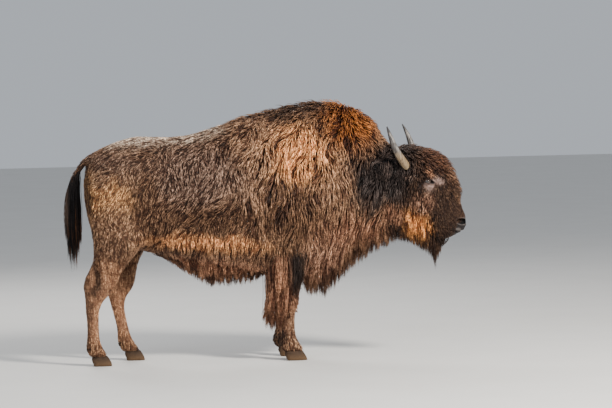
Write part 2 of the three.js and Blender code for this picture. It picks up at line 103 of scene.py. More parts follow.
# The head's own directions: aside to its left, along it to the nose and over it.
ASIDE = (middle("eye_left") - middle("eye_right")).normalized()
AHEAD = ASIDE.cross(UP)
ALONG, OVER = turned(AHEAD, UP, HEAD_PITCH)
HEAD_ROOT = (middle("eye_left") + middle("eye_right")) / 2 - ALONG * EYE_ALONG - OVER * EYE_OVER
HEAD_AXES = np.array([ALONG, OVER, ASIDE])


def on_head(points):
    """Points as distances along the head, over it and aside."""
    return (points - np.array(HEAD_ROOT)) @ HEAD_AXES.T


def off_head(places):
    return places @ HEAD_AXES + np.array(HEAD_ROOT)


def fade(value, start, end):
    """0 up to start and 1 from end on, smoothly between."""
    u = np.clip((value - start) / (end - start), 0, 1)
    return u * u * (3 - 2 * u)


# ---- charts of the coat ---------------------------------------------------------------------------
# Each row holds a place as seen from the side, how far it reaches, the way the hair lies there in
# degrees (0 forwards, 90 up, 180 backwards, 270 down) and, in millimetres, the length of a tuft, its
# width and the coat's depth; then how curly it is and how much it stands out.
BODY_CHART = (
    # x, z, reach, lie, length, width, depth, curl, stand
    (-1.08, 1.38, 0.11, 205, 30, 5.0, 9, 0.4, 0.3),  # tail head
    (-0.80, 1.50, 0.15, 192, 32, 5.0, 9, 0.3, 0.2),  # croup
    (-0.95, 1.22, 0.17, 235, 28, 4.8, 12, 0.9, 0.4),  # rump
    (-1.00, 0.97, 0.16, 252, 28, 4.8, 13, 1.1, 0.5),  # thigh
    (-1.00, 0.74, 0.12, 262, 27, 4.6, 9, 0.5, 0.3),  # lower thigh
    (-1.06, 0.50, 0.10, 268, 20, 4.0, 5, 0.2, 0.2),  # hock
    (-1.05, 0.28, 0.14, 270, 17, 3.8, 4, 0.1, 0.1),  # hind cannon
    (-0.88, 0.30, 0.14, 270, 17, 3.8, 4, 0.1, 0.1),  # far hind cannon
    (-1.14, 0.12, 0.04, 262, 40, 4.2, 7, 0.5, 0.8),  # behind the hind fetlock
    (-1.06, 0.11, 0.06, 268, 24, 3.8, 5, 0.3, 0.3),
    (-0.94, 0.12, 0.04, 262, 40, 4.2, 7, 0.5, 0.8),  # behind the far hind fetlock
    (-0.86, 0.11, 0.06, 268, 24, 3.8, 5, 0.3, 0.3),
    (-0.68, 0.92, 0.12, 240, 34, 5.2, 14, 0.8, 0.3),  # flank fold
    (-0.50, 1.50, 0.15, 197, 38, 5.2, 11, 0.2, 0.2),  # loin
    (-0.52, 1.27, 0.14, 266, 38, 5.2, 16, 0.5, 0.2),  # upper ribs
    (-0.28, 1.25, 0.14, 264, 48, 5.8, 20, 0.3, 0.2),
    (-0.37, 1.00, 0.08, 188, 42, 5.6, 18, 0.3, 0.2),  # swirl on the ribs
    (-0.50, 0.98, 0.08, 214, 42, 5.6, 16, 0.3, 0.2),
    (-0.24, 1.00, 0.08, 232, 48, 5.8, 20, 0.3, 0.2),
    (-0.45, 0.78, 0.12, 262, 60, 6.4, 22, 0.4, 0.4),  # belly
    (-0.12, 0.78, 0.12, 260, 70, 6.8, 25, 0.4, 0.4),
    (-0.20, 1.57, 0.13, 200, 66, 6.4, 28, 0.5, 0.7),  # back of the hump
    (0.14, 1.68, 0.15, 207, 74, 6.2, 44, 0.7, 1.3),  # hump
    (-0.10, 1.36, 0.15, 240, 80, 7.0, 32, 0.4, 0.3),
    (0.15, 1.42, 0.15, 254, 95, 7.6, 42, 0.4, 0.3),
    (0.15, 1.12, 0.17, 262, 105, 8.0, 42, 0.4, 0.3),  # shoulder
    (0.06, 0.82, 0.14, 256, 105, 8.0, 36, 0.4, 0.4),  # elbow
    (0.46, 1.60, 0.12, 232, 56, 6.4, 44, 1.0, 1.1),  # crest
    (0.68, 1.44, 0.10, 286, 52, 7.0, 42, 1.0, 0.8),
    (0.48, 1.27, 0.15, 258, 100, 7.8, 44, 0.5, 0.3),  # side of the neck
    (0.70, 1.14, 0.13, 242, 105, 7.8, 42, 0.4, 0.4),
    (0.80, 1.22, 0.06, 250, 46, 5.4, 12, 0.7, 0.3),  # round the ear
    (0.56, 0.94, 0.14, 256, 130, 8.4, 42, 0.4, 0.4),  # lower neck
    (0.36, 0.76, 0.13, 264, 140, 8.8, 38, 0.4, 0.4),  # brisket
    (0.12, 0.56, 0.11, 268, 48, 6.0, 14, 0.4, 0.3),  # forearm
    (0.13, 0.30, 0.13, 270, 18, 3.8, 5, 0.1, 0.1),  # fore cannon
    (0.07, 0.13, 0.04, 264, 46, 4.4, 8, 0.5, 0.9),  # behind the fore fetlock
    (0.17, 0.12, 0.07, 268, 28, 4.0, 6, 0.3, 0.3),
    (0.18, 0.065, 0.06, 268, 36, 4.4, 12, 0.4, 1.0),  # over the tops of the hooves
    (-1.08, 0.065, 0.05, 268, 34, 4.4, 12, 0.4, 1.0),
    (-0.86, 0.065, 0.05, 268, 34, 4.4, 12, 0.4, 1.0),
)
# The same for the head, as distances along it and over it; -43 is straight down.
HEAD_CHART = (
    (-0.05, 0.20, 0.07, 40, 66, 7.0, 46, 1.2, 0.8),  # poll
    (-0.02, 0.00, 0.06, -75, 46, 5.4, 12, 0.7, 0.3),  # round the ear
    (0.05, 0.26, 0.07, 12, 60, 6.0, 50, 1.7, 0.8),  # bonnet
    (0.15, 0.31, 0.06, 0, 60, 6.0, 50, 1.8, 0.8),
    (0.25, 0.30, 0.06, -6, 62, 6.0, 46, 1.6, 0.7),
    (0.34, 0.27, 0.05, -10, 84, 6.0, 44, 1.0, 0.6),  # forelock
    (0.405, 0.23, 0.03, -12, 66, 5.4, 30, 0.8, 0.5),
    (0.08, 0.10, 0.07, -70, 50, 6.4, 30, 0.8, 0.4),  # temple
    (0.15, 0.20, 0.05, -25, 52, 6.2, 34, 0.9, 0.4),
    (0.17, 0.03, 0.06, -66, 40, 6.0, 20, 0.7, 0.3),  # behind the eye
    (0.19, 0.205, 0.036, 10, 12, 3.0, 4, 0.3, 0.1),  # brow
    (0.24, 0.14, 0.045, -40, 9, 2.8, 3, 0.3, 0.1),  # round the eye
    (0.29, 0.19, 0.035, -40, 11, 3.0, 4, 0.3, 0.1),
    (0.30, 0.03, 0.07, -56, 28, 5.0, 13, 0.7, 0.3),  # cheek
    (0.36, 0.12, 0.06, -40, 22, 4.6, 9, 0.5, 0.2),
    (0.38, -0.10, 0.07, -50, 62, 6.6, 22, 0.4, 0.4),  # jaw
    (0.22, -0.12, 0.08, -58, 84, 7.4, 30, 0.4, 0.4),
    (0.08, -0.08, 0.08, -62, 92, 7.6, 34, 0.4, 0.4),
    (0.46, 0.18, 0.045, -8, 13, 3.2, 5, 0.2, 0.1),  # bridge
    (0.46, 0.05, 0.05, -36, 15, 3.8, 5, 0.3, 0.2),  # side of the nose
    (0.56, 0.06, 0.06, -30, 6, 2.2, 2.0, 0.1, 0.1),  # muzzle
    (0.52, 0.12, 0.03, -20, 7, 2.4, 2.5, 0.1, 0.1),
    (0.53, -0.05, 0.04, -44, 30, 4.4, 8, 0.3, 0.4),  # chin
)
WANDER = 0.20  # how far the lie of the hair strays from the chart, in radians


def read_chart(chart, first, second):
    """The chart at places on the side view, as weighted means of its rows: how far forwards and how
    far up the hair lies, then the rest of a row."""
    total = 0.0
    values = [0.0] * 7
    for row_first, row_second, reach, lie, *rest in chart:
        away = (first - row_first) ** 2 + (second - row_second) ** 2
        weight = np.exp(-away / (2 * reach**2)) + 1e-12
        total = total + weight
        turn = math.radians(lie)
        for i, value in enumerate((math.cos(turn), math.sin(turn), *rest)):
            values[i] = values[i] + weight * value
    return [value / total for value in values]


def groom(points):
    """How the coat grows at points: the way it lies, and the length, width, depth, curl and stand."""
    share = headness(points)
    onward, upward, *body = read_chart(BODY_CHART, points[:, 0], points[:, 2])
    onward, upward = turned(onward, upward, -drift(points))
    body_lie = np.outer(onward, (1, 0, 0)) + np.outer(upward, UP)
    along, over, _ = on_head(points).T
    onward, upward, *head = read_chart(HEAD_CHART, along, over)
    head_lie = np.outer(onward, ALONG) + np.outer(upward, OVER)
    lie = mix(share[:, None], body_lie, head_lie)
    length, width, depth, curl, stand = (mix(share, b, h) for b, h in zip(body, head))
    return lie, length / 1000, width / 1000, depth / 1000, curl, stand


def drift(points):
    """How far the lie of the hair wanders on the body, in radians: none on the legs."""
    x, y, z = points.T
    wander = np.sin(19 * x + 11 * z + 5 * y) + np.sin(29 * z - 17 * x + 2)
    wander = wander + 0.6 * np.sin(47 * x - 23 * z + 4 * y)
    return WANDER * wander * fade(z, 0.62, 0.85) * (1 - 0.6 * fade(z, 1.45, 1.60))


def headness(points):
    """1 on the head and 0 behind it."""
    return fade((points - np.array(HEAD_ROOT)) @ np.array(AHEAD), -0.04, 0.05)


# ---- mesh helpers ---------------------------------------------------------------------------------
def into_scene(thing):
    bpy.context.scene.collection.objects.link(thing)


def pick(*things):
    """Selects these objects and no others, and makes the first one active."""
    for other in list(bpy.context.selected_objects):
        other.select_set(False)
    for thing in things:
        thing.select_set(True)
    bpy.context.view_layer.objects.active = things[0]


def apply(piece, kind, **settings):
    """Adds a modifier of this kind and applies it."""
    pick(piece)
    modifier = piece.modifiers.new(kind.title(), kind)
    for setting, value in settings.items():
        setattr(modifier, setting, value)
    bpy.ops.object.modifier_apply(modifier=modifier.name)


def copy_of(name, nodes, grow=0.0):
    """One new piece made of copies of CAD nodes, with their points merged, each grown a little."""
    copies = []
    for node in nodes:
        copy = NODES[node].copy()
        copy.data = copy.data.copy()
        copy.parent = None
        copy.hide_render = False
        copy.hide_viewport = False
        for key in list(copy.keys()):
            del copy[key]
        copy.data.materials.clear()
        into_scene(copy)
        pick(copy)
        bpy.ops.object.mode_set(mode="EDIT")
        bpy.ops.mesh.select_all(action="SELECT")
        bpy.ops.mesh.remove_doubles(threshold=1e-5)
        if grow:
            bpy.ops.transform.shrink_fatten(value=grow)
        bpy.ops.object.mode_set(mode="OBJECT")
        copies.append(copy)
    pick(*copies)
    if len(copies) > 1:
        bpy.ops.object.join()
    piece = bpy.context.view_layer.objects.active
    piece.name = name
    piece.data.name = name
    return piece


def read(items, field, width, kind=np.float32):
    """A field of all the points, edges or faces of a mesh, in rows of so many numbers."""
    found = np.empty(len(items) * width, kind)
    items.foreach_get(field, found)
    return found.reshape(-1, width)


def points_of(piece):
    return read(piece.data.vertices, "co", 3).astype(float)


def move_points(piece, points):
    piece.data.vertices.foreach_set("co", points.ravel())
    piece.data.update()


def normals_of(piece):
    return read(piece.data.vertex_normals, "vector", 3).astype(float)


def edges_of(piece):
    return read(piece.data.edges, "vertices", 2, np.int32)


def hold(piece, name, values):
    """Keeps a number or a direction at each of a piece's points, for its finish to read."""
    kind, field = ("FLOAT_VECTOR", "vector") if values.ndim == 2 else ("FLOAT", "value")
    held = piece.data.attributes.new(name, kind, "POINT")
    held.data.foreach_set(field, values.astype(np.float32).ravel())


def node_tree(node):
    """A tree that finds the nearest place on a CAD node."""
    mesh = NODES[node].data
    return BVHTree.FromPolygons([v.co for v in mesh.vertices], [p.vertices[:] for p in mesh.polygons])


def relax(values, edges, rounds, amount=0.5):
    """Values at points, each drawn towards the mean of its neighbours, a number of times."""
    count = np.bincount(edges.ravel(), minlength=len(values))
    flat = values.reshape(len(values), -1)
    for _ in range(rounds):
        mean = np.stack(
            [
                np.bincount(edges[:, 0], column[edges[:, 1]], len(column))
                + np.bincount(edges[:, 1], column[edges[:, 0]], len(column))
                for column in flat.T
            ],
            1,
        ) / np.maximum(count, 1)[:, None]
        flat = flat + (mean - flat) * amount * (count > 0)[:, None]
    return flat.reshape(values.shape)


def refine(piece, chosen):
    """Halves the edges of the faces whose middles are chosen."""
    wanted = chosen(read(piece.data.polygons, "center", 3).astype(float))
    pick(piece)
    bpy.ops.object.mode_set(mode="EDIT")
    bpy.ops.mesh.select_mode(type="FACE")
    bpy.ops.mesh.select_all(action="DESELECT")
    bpy.ops.object.mode_set(mode="OBJECT")
    piece.data.polygons.foreach_set("select", wanted)
    bpy.ops.object.mode_set(mode="EDIT")
    bpy.ops.mesh.subdivide(number_cuts=1)
    bpy.ops.object.mode_set(mode="OBJECT")


def smooth_all(piece):
    piece.data.polygons.foreach_set("use_smooth", np.ones(len(piece.data.polygons), bool))


def fit(piece, slot, *nodes):
    """Puts a finished piece on the animal's one body, in place of these CAD nodes."""
    if nodes:
        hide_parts(*nodes)
    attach(piece, "root")


# ---- hide -----------------------------------------------------------------------------------------
# All nodes but the eyes, horns, hooves and hanging hair.
FLESH = [
    node
    for node in sorted(NODES)
    if node.split("_")[0] in ("rump", "barrel", "shoulders", "neck", "head", "ear")
    or node == "tail_dock"
    or node.split("_")[-1] in ("shank", "forearm", "cannon", "pastern")
]
EARS = ("ear_right", "ear_left")
HIDE_SOFTENING = 10  # rounds that take the grid's steps and the flesh's seams away
SHRINK_STEPS = 5


def nearness(points, nodes, reach):
    """1 at points on these CAD nodes' surfaces, down to 0 at a distance."""
    near = np.zeros(len(points))
    for node in nodes:
        tree = node_tree(node)
        low, high = (np.array(corner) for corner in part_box(node))
        close = np.flatnonzero(((points > low - reach) & (points < high + reach)).all(1))
        away = np.array([tree.find_nearest(Vector(points[i]))[3] for i in close])
        near[close] = np.maximum(near[close], 1 - fade(away, reach / 3, reach))
    return near


def make_hide():
    """The animal's skin: the flesh made one, then drawn in by the depth of the coat."""
    hide = copy_of("hide", FLESH, OVERLAP)
    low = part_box("tail_dock")[0]
    bpy.ops.object.select_all(action="DESELECT")
    core_middle = (low.x + 0.022, 0, low.z - 0.11)
    bpy.ops.mesh.primitive_cone_add(
        vertices=10, radius1=0.007, radius2=0.019, depth=TAIL_CORE, location=core_middle
    )
    tail_core = bpy.context.object
    bpy.ops.object.transform_apply(location=True)
    pick(hide, tail_core)
    bpy.ops.object.join()
    apply(hide, "REMESH", mode="VOXEL", voxel_size=HIDE_VOXEL, adaptivity=0.0)
    edges = edges_of(hide)
    points = relax(points_of(hide), edges, HIDE_SOFTENING)
    ears = relax(nearness(points, EARS, 0.009), edges, 3)
    for _ in range(SHRINK_STEPS):
        move_points(hide, points)
        depth = mix(ears, groom(points)[3], EAR_COAT)
        depth = mix(fade(-points[:, 0], 1.19, 1.23), depth, TAIL_COAT)
        depth = mix(1 - fade(points[:, 2], 0.11, 0.16), depth, FOOT_COAT)
        depth = np.where(points[:, 2] < 0.085, HOOF_COLLAR, depth)
        points = points - normals_of(hide) * (depth / SHRINK_STEPS)[:, None]
        points = relax(points, edges, 2, 0.35)
    aside = points[:, 1]
    inwards = np.sign(LEG_MIDDLE * np.sign(aside) - aside) * heel_cords(points) * HEEL_HOLLOW
    move_points(hide, points + np.outer(inwards, (0, 1, 0)))
    open_tail_gap(hide)
    shape_face(hide)
    smooth_all(hide)
    return hide


def tail_gap(z):
    """Where along the body the gap between the tail and the rump lies at a height."""
    return -1.161 + TAIL_GAP_SLOPE * (z - 1.22)


def open_tail_gap(hide):
    """Carries the gap under the root of the tail up to where it starts."""
    refine(hide, lambda points: np.linalg.norm(points - np.array((-1.150, 0, 1.24)), axis=1) < 0.06)
    points = points_of(hide)
    x, y, z = points.T
    roof = (1 - fade(np.abs(x - tail_gap(z)), 0.006, 0.022)) * (1 - fade(np.abs(y), 0.020, 0.045))
    roof = roof * fade(z, 1.195, 1.215) * (1 - fade(z, 1.262, 1.275))
    lift = roof * np.maximum(TAIL_GAP_TOP - z, 0)
    move_points(hide, points + np.outer(lift, (TAIL_GAP_SLOPE, 0, 1)))


def heel_cords(points):
    """The hollow between the heel cord and the shin, on both sides of each hind leg."""
    x, y, z = points.T
    set_forward = np.where(y > 0, np.interp(z, (0.12, 0.52, 0.76), (0.198, 0.117, 0.038)), -0.012)
    line = -1.080 + set_forward + 0.10 * (z - 0.566)
    return np.exp(-(((x - line) / 0.017) ** 2)) * fade(z, 0.46, 0.52) * (1 - fade(z, 0.62, 0.72))


def shape_face(hide):
    """Finer faces on the head, then its ears, lids, nostrils and mouth."""

    def on_face(centres):
        return (centres - np.array(HEAD_ROOT)) @ np.array(AHEAD) > 0.13

    def on_features(centres):
        along, over, aside = on_head(centres).T
        eye = np.hypot(along - EYE_ALONG, over - EYE_OVER) < 0.075
        return (along > 0.49) | (eye & (np.abs(aside) > 0.08))

    refine(hide, on_face)
    refine(hide, on_features)
    edges = edges_of(hide)
    points = points_of(hide)
    softened = relax(points, edges, 6)
    share = headness(points)[:, None]
    points = mix(share, points, softened)
    along, over, _ = on_head(points).T
    under_forelock = np.exp(-(((along - 0.43) / 0.030) ** 2)) * fade(over, 0.10, 0.20)
    points = points - np.outer(0.010 * under_forelock, np.array(OVER))
    for side in (-1, 1):
        points = hollow_ear(points, side)
        points = set_eye(points, side)
        points = cut_nostril(points, side)
    points = part_lips(points)
    move_points(hide, points)
    points = mix(share, points, relax(points, edges, 1, 0.3))
    move_points(hide, points)


def hollow_ear(points, side):
    """A scoop out of the front of an ear."""
    node = "ear_left" if side > 0 else "ear_right"
    centre = np.array(middle(node)) + np.array(ASIDE) * side * 0.028
    face = np.array((ASIDE * side * 0.62 + AHEAD * 0.72).normalized())
    away = points - centre
    ahead = away @ face
    flat = np.linalg.norm(away - np.outer(ahead, face), axis=1)
    scoop = (1 - fade(flat, 0.012, 0.048)) * fade(ahead, -0.008, 0.006)
    return points - np.outer(scoop * 0.016, face)


def set_eye(points, side):
    """Lids that lie on the eyeball, with a slit between them, a brow over it and folds under it."""
    places = on_head(points)
    along, over = places[:, 0] - EYE_ALONG, places[:, 1] - EYE_OVER - 0.003
    out = places[:, 2] * side
    here = out > 0.06
    long, high = turned(along, over, EYE_TILT)
    corner = np.where(long > 0, 1.25, 1.0)  # the slit runs on to the tear duct in front
    slit = np.hypot(long / (EYE_LONG * corner), high / EYE_HIGH)
    centre = middle("eye_left" if side > 0 else "eye_right")
    ball = on_head(np.array([centre]))[0]
    flat = np.hypot(places[:, 0] - ball[0], places[:, 1] - ball[1])
    dome = np.sqrt(np.maximum((EYE_RADIUS + LID) ** 2 - flat**2, 0)) + abs(ball[2])
    reach = 1 - fade(np.hypot(long / 0.052, high / 0.034), 0.55, 1.0)
    lidded = np.where(flat < EYE_RADIUS + LID, np.maximum(dome, out), out)
    lidded = out + (lidded - out) * reach
    # Rolls along the edge of each lid, and a fold over and under the pair.
    lidded = lidded + 0.0028 * np.exp(-(((slit - 1.25) / 0.28) ** 2)) * (np.abs(long) < 0.04)
    lidded = lidded + 0.007 * np.exp(-((high - 0.030) ** 2) / 0.00009 - (long / 0.04) ** 2)
    lidded = lidded - 0.004 * np.exp(-((high - 0.0205) ** 2) / 0.00002 - (long / 0.034) ** 2)
    lidded = lidded - 0.003 * np.exp(-((high + 0.0225) ** 2) / 0.00002 - (long / 0.036) ** 2)
    sunk = abs(ball[2]) + np.sqrt(np.maximum(EYE_RADIUS**2 - flat**2, 0)) - 0.010
    opened = 1 - fade(slit, 0.82, 1.04)
    lidded = mix(opened, lidded, np.minimum(sunk, lidded))
    places[:, 2] = np.where(here, lidded * side, places[:, 2])
    return off_head(places)


def cut_nostril(points, side):
    """A comma-shaped nostril with a raised wing behind it."""
    places = on_head(points)
    along, over = places[:, 0] - NOSTRIL_ALONG, places[:, 1] - NOSTRIL_OVER
    out = places[:, 2] * side
    here = (out > 0.012) & (places[:, 0] > 0.50)
    long, high = turned(along, over, math.radians(30))
    high = high + 9.0 * long**2  # the comma's bend
    off = np.hypot(long / 0.028, high / 0.0165)
    pit = (1 - fade(off, 0.5, 1.15)) * here
    rim = np.exp(-(((off - 1.4) / 0.3) ** 2)) * here
    inward = np.array([-0.014, -0.003, -0.024 * side])
    outward = np.array([0.001, 0.001, 0.0035 * side])
    return off_head(places + np.outer(pit, inward) + np.outer(rim, outward))


def part_lips(points):
    """The mouth: a groove from the front of the lips back to their corners, and the lip's cleft."""
    places = on_head(points)
    along, over, aside = places.T
    line = -0.026 + 0.80 * (along - 0.491)
    line = line + 0.010 * np.exp(-(((along - 0.52) / 0.02) ** 2))
    off = over - line
    in_mouth = fade(along, 0.482, 0.505)
    groove = np.exp(-((off / 0.0048) ** 2)) * in_mouth
    lips = np.exp(-(((np.abs(off) - 0.012) / 0.008) ** 2)) * in_mouth
    centre = np.array([0.52, 0.02, 0])
    away = places - centre
    away = away / np.maximum(np.linalg.norm(away, axis=1), 1e-6)[:, None]
    cleft = np.exp(-((aside / 0.004) ** 2)) * fade(along, 0.575, 0.59) * fade(over, 0.03, 0.06)
    shift = -0.0085 * groove + 0.0022 * lips - 0.003 * cleft
    return off_head(places + away * shift[:, None])


# ---- stage ----------------------------------------------------------------------------------------
def aim(thing, target):
    thing.rotation_mode = "QUATERNION"
    thing.rotation_quaternion = (Vector(target) - thing.location).to_track_quat("-Z", "Y")


def make_camera():
    level_back = Vector((math.sin(CAMERA_AZIMUTH), -math.cos(CAMERA_AZIMUTH), 0))
    back = level_back * math.cos(CAMERA_ELEVATION) + UP * math.sin(CAMERA_ELEVATION)
    level_right = (-back).cross(UP).normalized()
    level_up = level_right.cross(-back)
    right, up = turned(level_right, level_up, -CAMERA_ROLL)
    data = bpy.data.cameras.new("camera")
    data.lens = CAMERA_LENS
    camera = bpy.data.objects.new("camera", data)
    into_scene(camera)
    facing = Matrix((right, up, back)).transposed().to_4x4()
    camera.matrix_world = Matrix.Translation(CAMERA_TARGET + back * CAMERA_DISTANCE) @ facing
    bpy.context.scene.camera = camera


def make_light(name, place, target, size, watts, colour):
    data = bpy.data.lights.new(name, "AREA")
    data.shape = "DISK"
    data.size = size
    data.energy = watts
    data.color = colour
    light = bpy.data.objects.new(name, data)
    light.location = place
    aim(light, target)
    into_scene(light)


def make_stage():
    """A pale floor, a grey sky, a warm key light and two softer lights."""
    bpy.ops.mesh.primitive_plane_add(size=FLOOR_SIZE, location=(0, 0, 0))
    floor = bpy.context.object
    floor.name = "floor"
    finish = Finish("pale_floor")
    grain = finish.noise(finish.here(), 2.0, 3.0)
    colour = finish.blend(grain, (0.60, 0.59, 0.57), (0.66, 0.65, 0.63))
    finish.surface(**{"Base Color": colour, "Roughness": 0.85})
    floor.data.materials.append(finish.material)
    world = bpy.data.worlds.new("studio")
    bpy.context.scene.world = world
    world.use_nodes = True
    world.node_tree.nodes["Background"].inputs["Color"].default_value = (0.86, 0.92, 1.0, 1)
    world.node_tree.nodes["Background"].inputs["Strength"].default_value = 0.55
    make_light("key", (4.2, -5.2, 5.4), (0.1, 0, 0.9), 1.6, 1250, (1.0, 0.95, 0.87))
    make_light("fill", (-5.0, -6.0, 3.0), (-0.2, 0, 0.9), 4.0, 160, (0.90, 0.95, 1.0))
    make_light("rim", (-2.0, 5.5, 5.0), (0, 0, 1.0), 3.0, 260, (1.0, 0.97, 0.93))


# ---- shader helpers -------------------------------------------------------------------------------
class Flow:
    """A value that runs from one shader node to others, with arithmetic."""

    def __init__(self, finish, socket):
        self.finish = finish
        self.socket = socket

    def math(self, operation, *values):
        return self.finish.math(operation, *values)

    def __add__(self, other):
        return self.math("ADD", self, other)

    def __radd__(self, other):
        return self.math("ADD", other, self)

    def __sub__(self, other):
        return self.math("SUBTRACT", self, other)

    def __rsub__(self, other):
        return self.math("SUBTRACT", other, self)

    def __mul__(self, other):
        return self.math("MULTIPLY", self, other)

    def __rmul__(self, other):
        return self.math("MULTIPLY", other, self)

    def __truediv__(self, other):
        return self.math("DIVIDE", self, other)

    def __pow__(self, other):
        return self.math("POWER", self, other)

    def fade(self, start, end):
        """0 up to start and 1 from end on, smoothly between."""
        settings = {"interpolation_type": "SMOOTHSTEP"}
        limits = {"From Min": start, "From Max": end}
        return self.finish.node("ShaderNodeMapRange", settings, Value=self, **limits).out("Result")


class Made:
    """A node that was added to a finish."""

    def __init__(self, finish, node):
        self.finish = finish
        self.node = node

    def out(self, name=0):
        return Flow(self.finish, self.node.outputs[name])


class Finish:
    """A material that is being put together."""

    def __init__(self, name):
        self.material = bpy.data.materials.new(name)
        self.material.use_nodes = True
        self.tree = self.material.node_tree
        self.tree.nodes.clear()

    def node(self, kind, settings=None, *values, **sockets):
        """Adds a node: its settings first, then what its sockets hold, by order or by name."""
        node = self.tree.nodes.new(kind)
        for setting, value in (settings or {}).items():
            setattr(node, setting, value)
        for name, value in [*enumerate(values), *sockets.items()]:
            self.feed(node.inputs[name], value)
        return Made(self, node)

    def math(self, operation, *values):
        return self.node("ShaderNodeMath", {"operation": operation}, *values).out()

    def feed(self, socket, value):
        if isinstance(value, Flow):
            self.tree.links.new(value.socket, socket)
        elif isinstance(value, tuple) and len(value) == 3 and socket.type == "RGBA":
            socket.default_value = (*value, 1)
        else:
            socket.default_value = value

    def blend(self, share, before, after):
        """One colour turning into another."""
        settings = {"data_type": "RGBA", "clamp_factor": True}
        made = self.node("ShaderNodeMix", settings)
        for socket in made.node.inputs:
            given = {"Factor_Float": share, "A_Color": before, "B_Color": after}.get(socket.identifier)
            if given is not None:
                self.feed(socket, given)
        return Flow(self, next(s for s in made.node.outputs if s.identifier == "Result_Color"))

    def scaled(self, colour, amount):
        """A colour, lighter or darker."""
        return self.node("ShaderNodeVectorMath", {"operation": "SCALE"}, colour, Scale=amount).out()

    def vector(self, operation, *values):
        return self.node("ShaderNodeVectorMath", {"operation": operation}, *values)

    def parts(self, place):
        made = self.node("ShaderNodeSeparateXYZ", None, place)
        return [made.out(i) for i in range(3)]

    def here(self):
        """The place on the piece."""
        return self.node("ShaderNodeTexCoord").out("Object")

    def held(self, name, output="Fac"):
        """What the piece keeps at its points under this name."""
        return self.node("ShaderNodeAttribute", {"attribute_name": name}).out(output)

    def noise(self, place, scale, detail, output="Fac", **sockets):
        """A cloudy pattern."""
        sockets = {"Vector": place, "Scale": scale, "Detail": detail, **sockets}
        return self.node("ShaderNodeTexNoise", None, **sockets).out(output)

    def bump(self, height, strength, distance):
        sockets = {"Height": height, "Strength": strength, "Distance": distance}
        return self.node("ShaderNodeBump", None, **sockets).out("Normal")

    def surface(self, **sockets):
        shader = self.node("ShaderNodeBsdfPrincipled", None, **sockets)
        self.node("ShaderNodeOutputMaterial", None, Surface=shader.out("BSDF"))


# ---- coat -----------------------------------------------------------------------------------------
SIDES = 3  # a tuft or lock is a thin three-sided spike
PATCH = 0.003  # the width of its patch on the unwrapped hide
TUFT_ROOT, LOCK_ROOT = 0.002, 0.003  # how deep their roots sit in the hide
TURNS = np.arange(SIDES) * 2 * math.pi / SIDES
STRAND_STEPS = (-1, -0.75, -0.5, -0.25, 0.25, 0.5, 0.75, 1)  # where a strand's neighbours are asked


class Ground:
    """The hide as the coat needs it: its triangles, its normals and a tree to find the nearest place."""

    def __init__(self, hide):
        apply(hide, "TRIANGULATE")
        mesh = hide.data
        self.points = points_of(hide)
        self.normals = normals_of(hide)
        self.faces = read(mesh.polygons, "vertices", 3, np.int32)
        self.tree = BVHTree.FromPolygons(self.points.tolist(), self.faces.tolist())
        first, second, third = self.points[self.faces].transpose(1, 0, 2)
        self.areas = np.linalg.norm(np.cross(second - first, third - first), axis=1) / 2
        self.centres = (first + second + third) / 3

    def settle(self, points):
        """The nearest places on the hide, with its normals there."""
        places, normals = np.empty_like(points), np.empty_like(points)
        for i, point in enumerate(points.tolist()):
            place, _, face, _ = self.tree.find_nearest(point)
            places[i] = place
            ring = self.faces[face]
            away = np.linalg.norm(self.points[ring] - places[i], axis=1) + 1e-6
            normals[i] = (self.normals[ring] / away[:, None]).sum(0)
        return places, unit(normals)

    def unwrapped(self, chosen):
        """The corners of the chosen triangles on an unwrap of that part of the hide."""
        faces = self.faces[chosen]
        used, places = np.unique(faces, return_inverse=True)
        mesh = bpy.data.meshes.new("part_of_hide")
        mesh.from_pydata(self.points[used].tolist(), [], places.reshape(-1, 3).tolist())
        part = bpy.data.objects.new("part_of_hide", mesh)
        into_scene(part)
        pick(part)
        bpy.ops.object.mode_set(mode="EDIT")
        bpy.ops.mesh.select_all(action="SELECT")
        bpy.ops.uv.smart_project(angle_limit=math.radians(80), island_margin=0.004)
        bpy.ops.object.mode_set(mode="OBJECT")
        flat = read(mesh.uv_layers.active.uv, "vector", 2).astype(float)
        bpy.data.objects.remove(part)
        bpy.data.meshes.remove(mesh)
        return flat.reshape(-1, 3, 2)


def unit(vectors):
    return vectors / np.maximum(np.linalg.norm(vectors, axis=-1, keepdims=True), 1e-9)


def along_surface(lies, normals):
    """Directions laid flat on the surface."""
    return unit(lies - normals * (lies * normals).sum(1)[:, None])


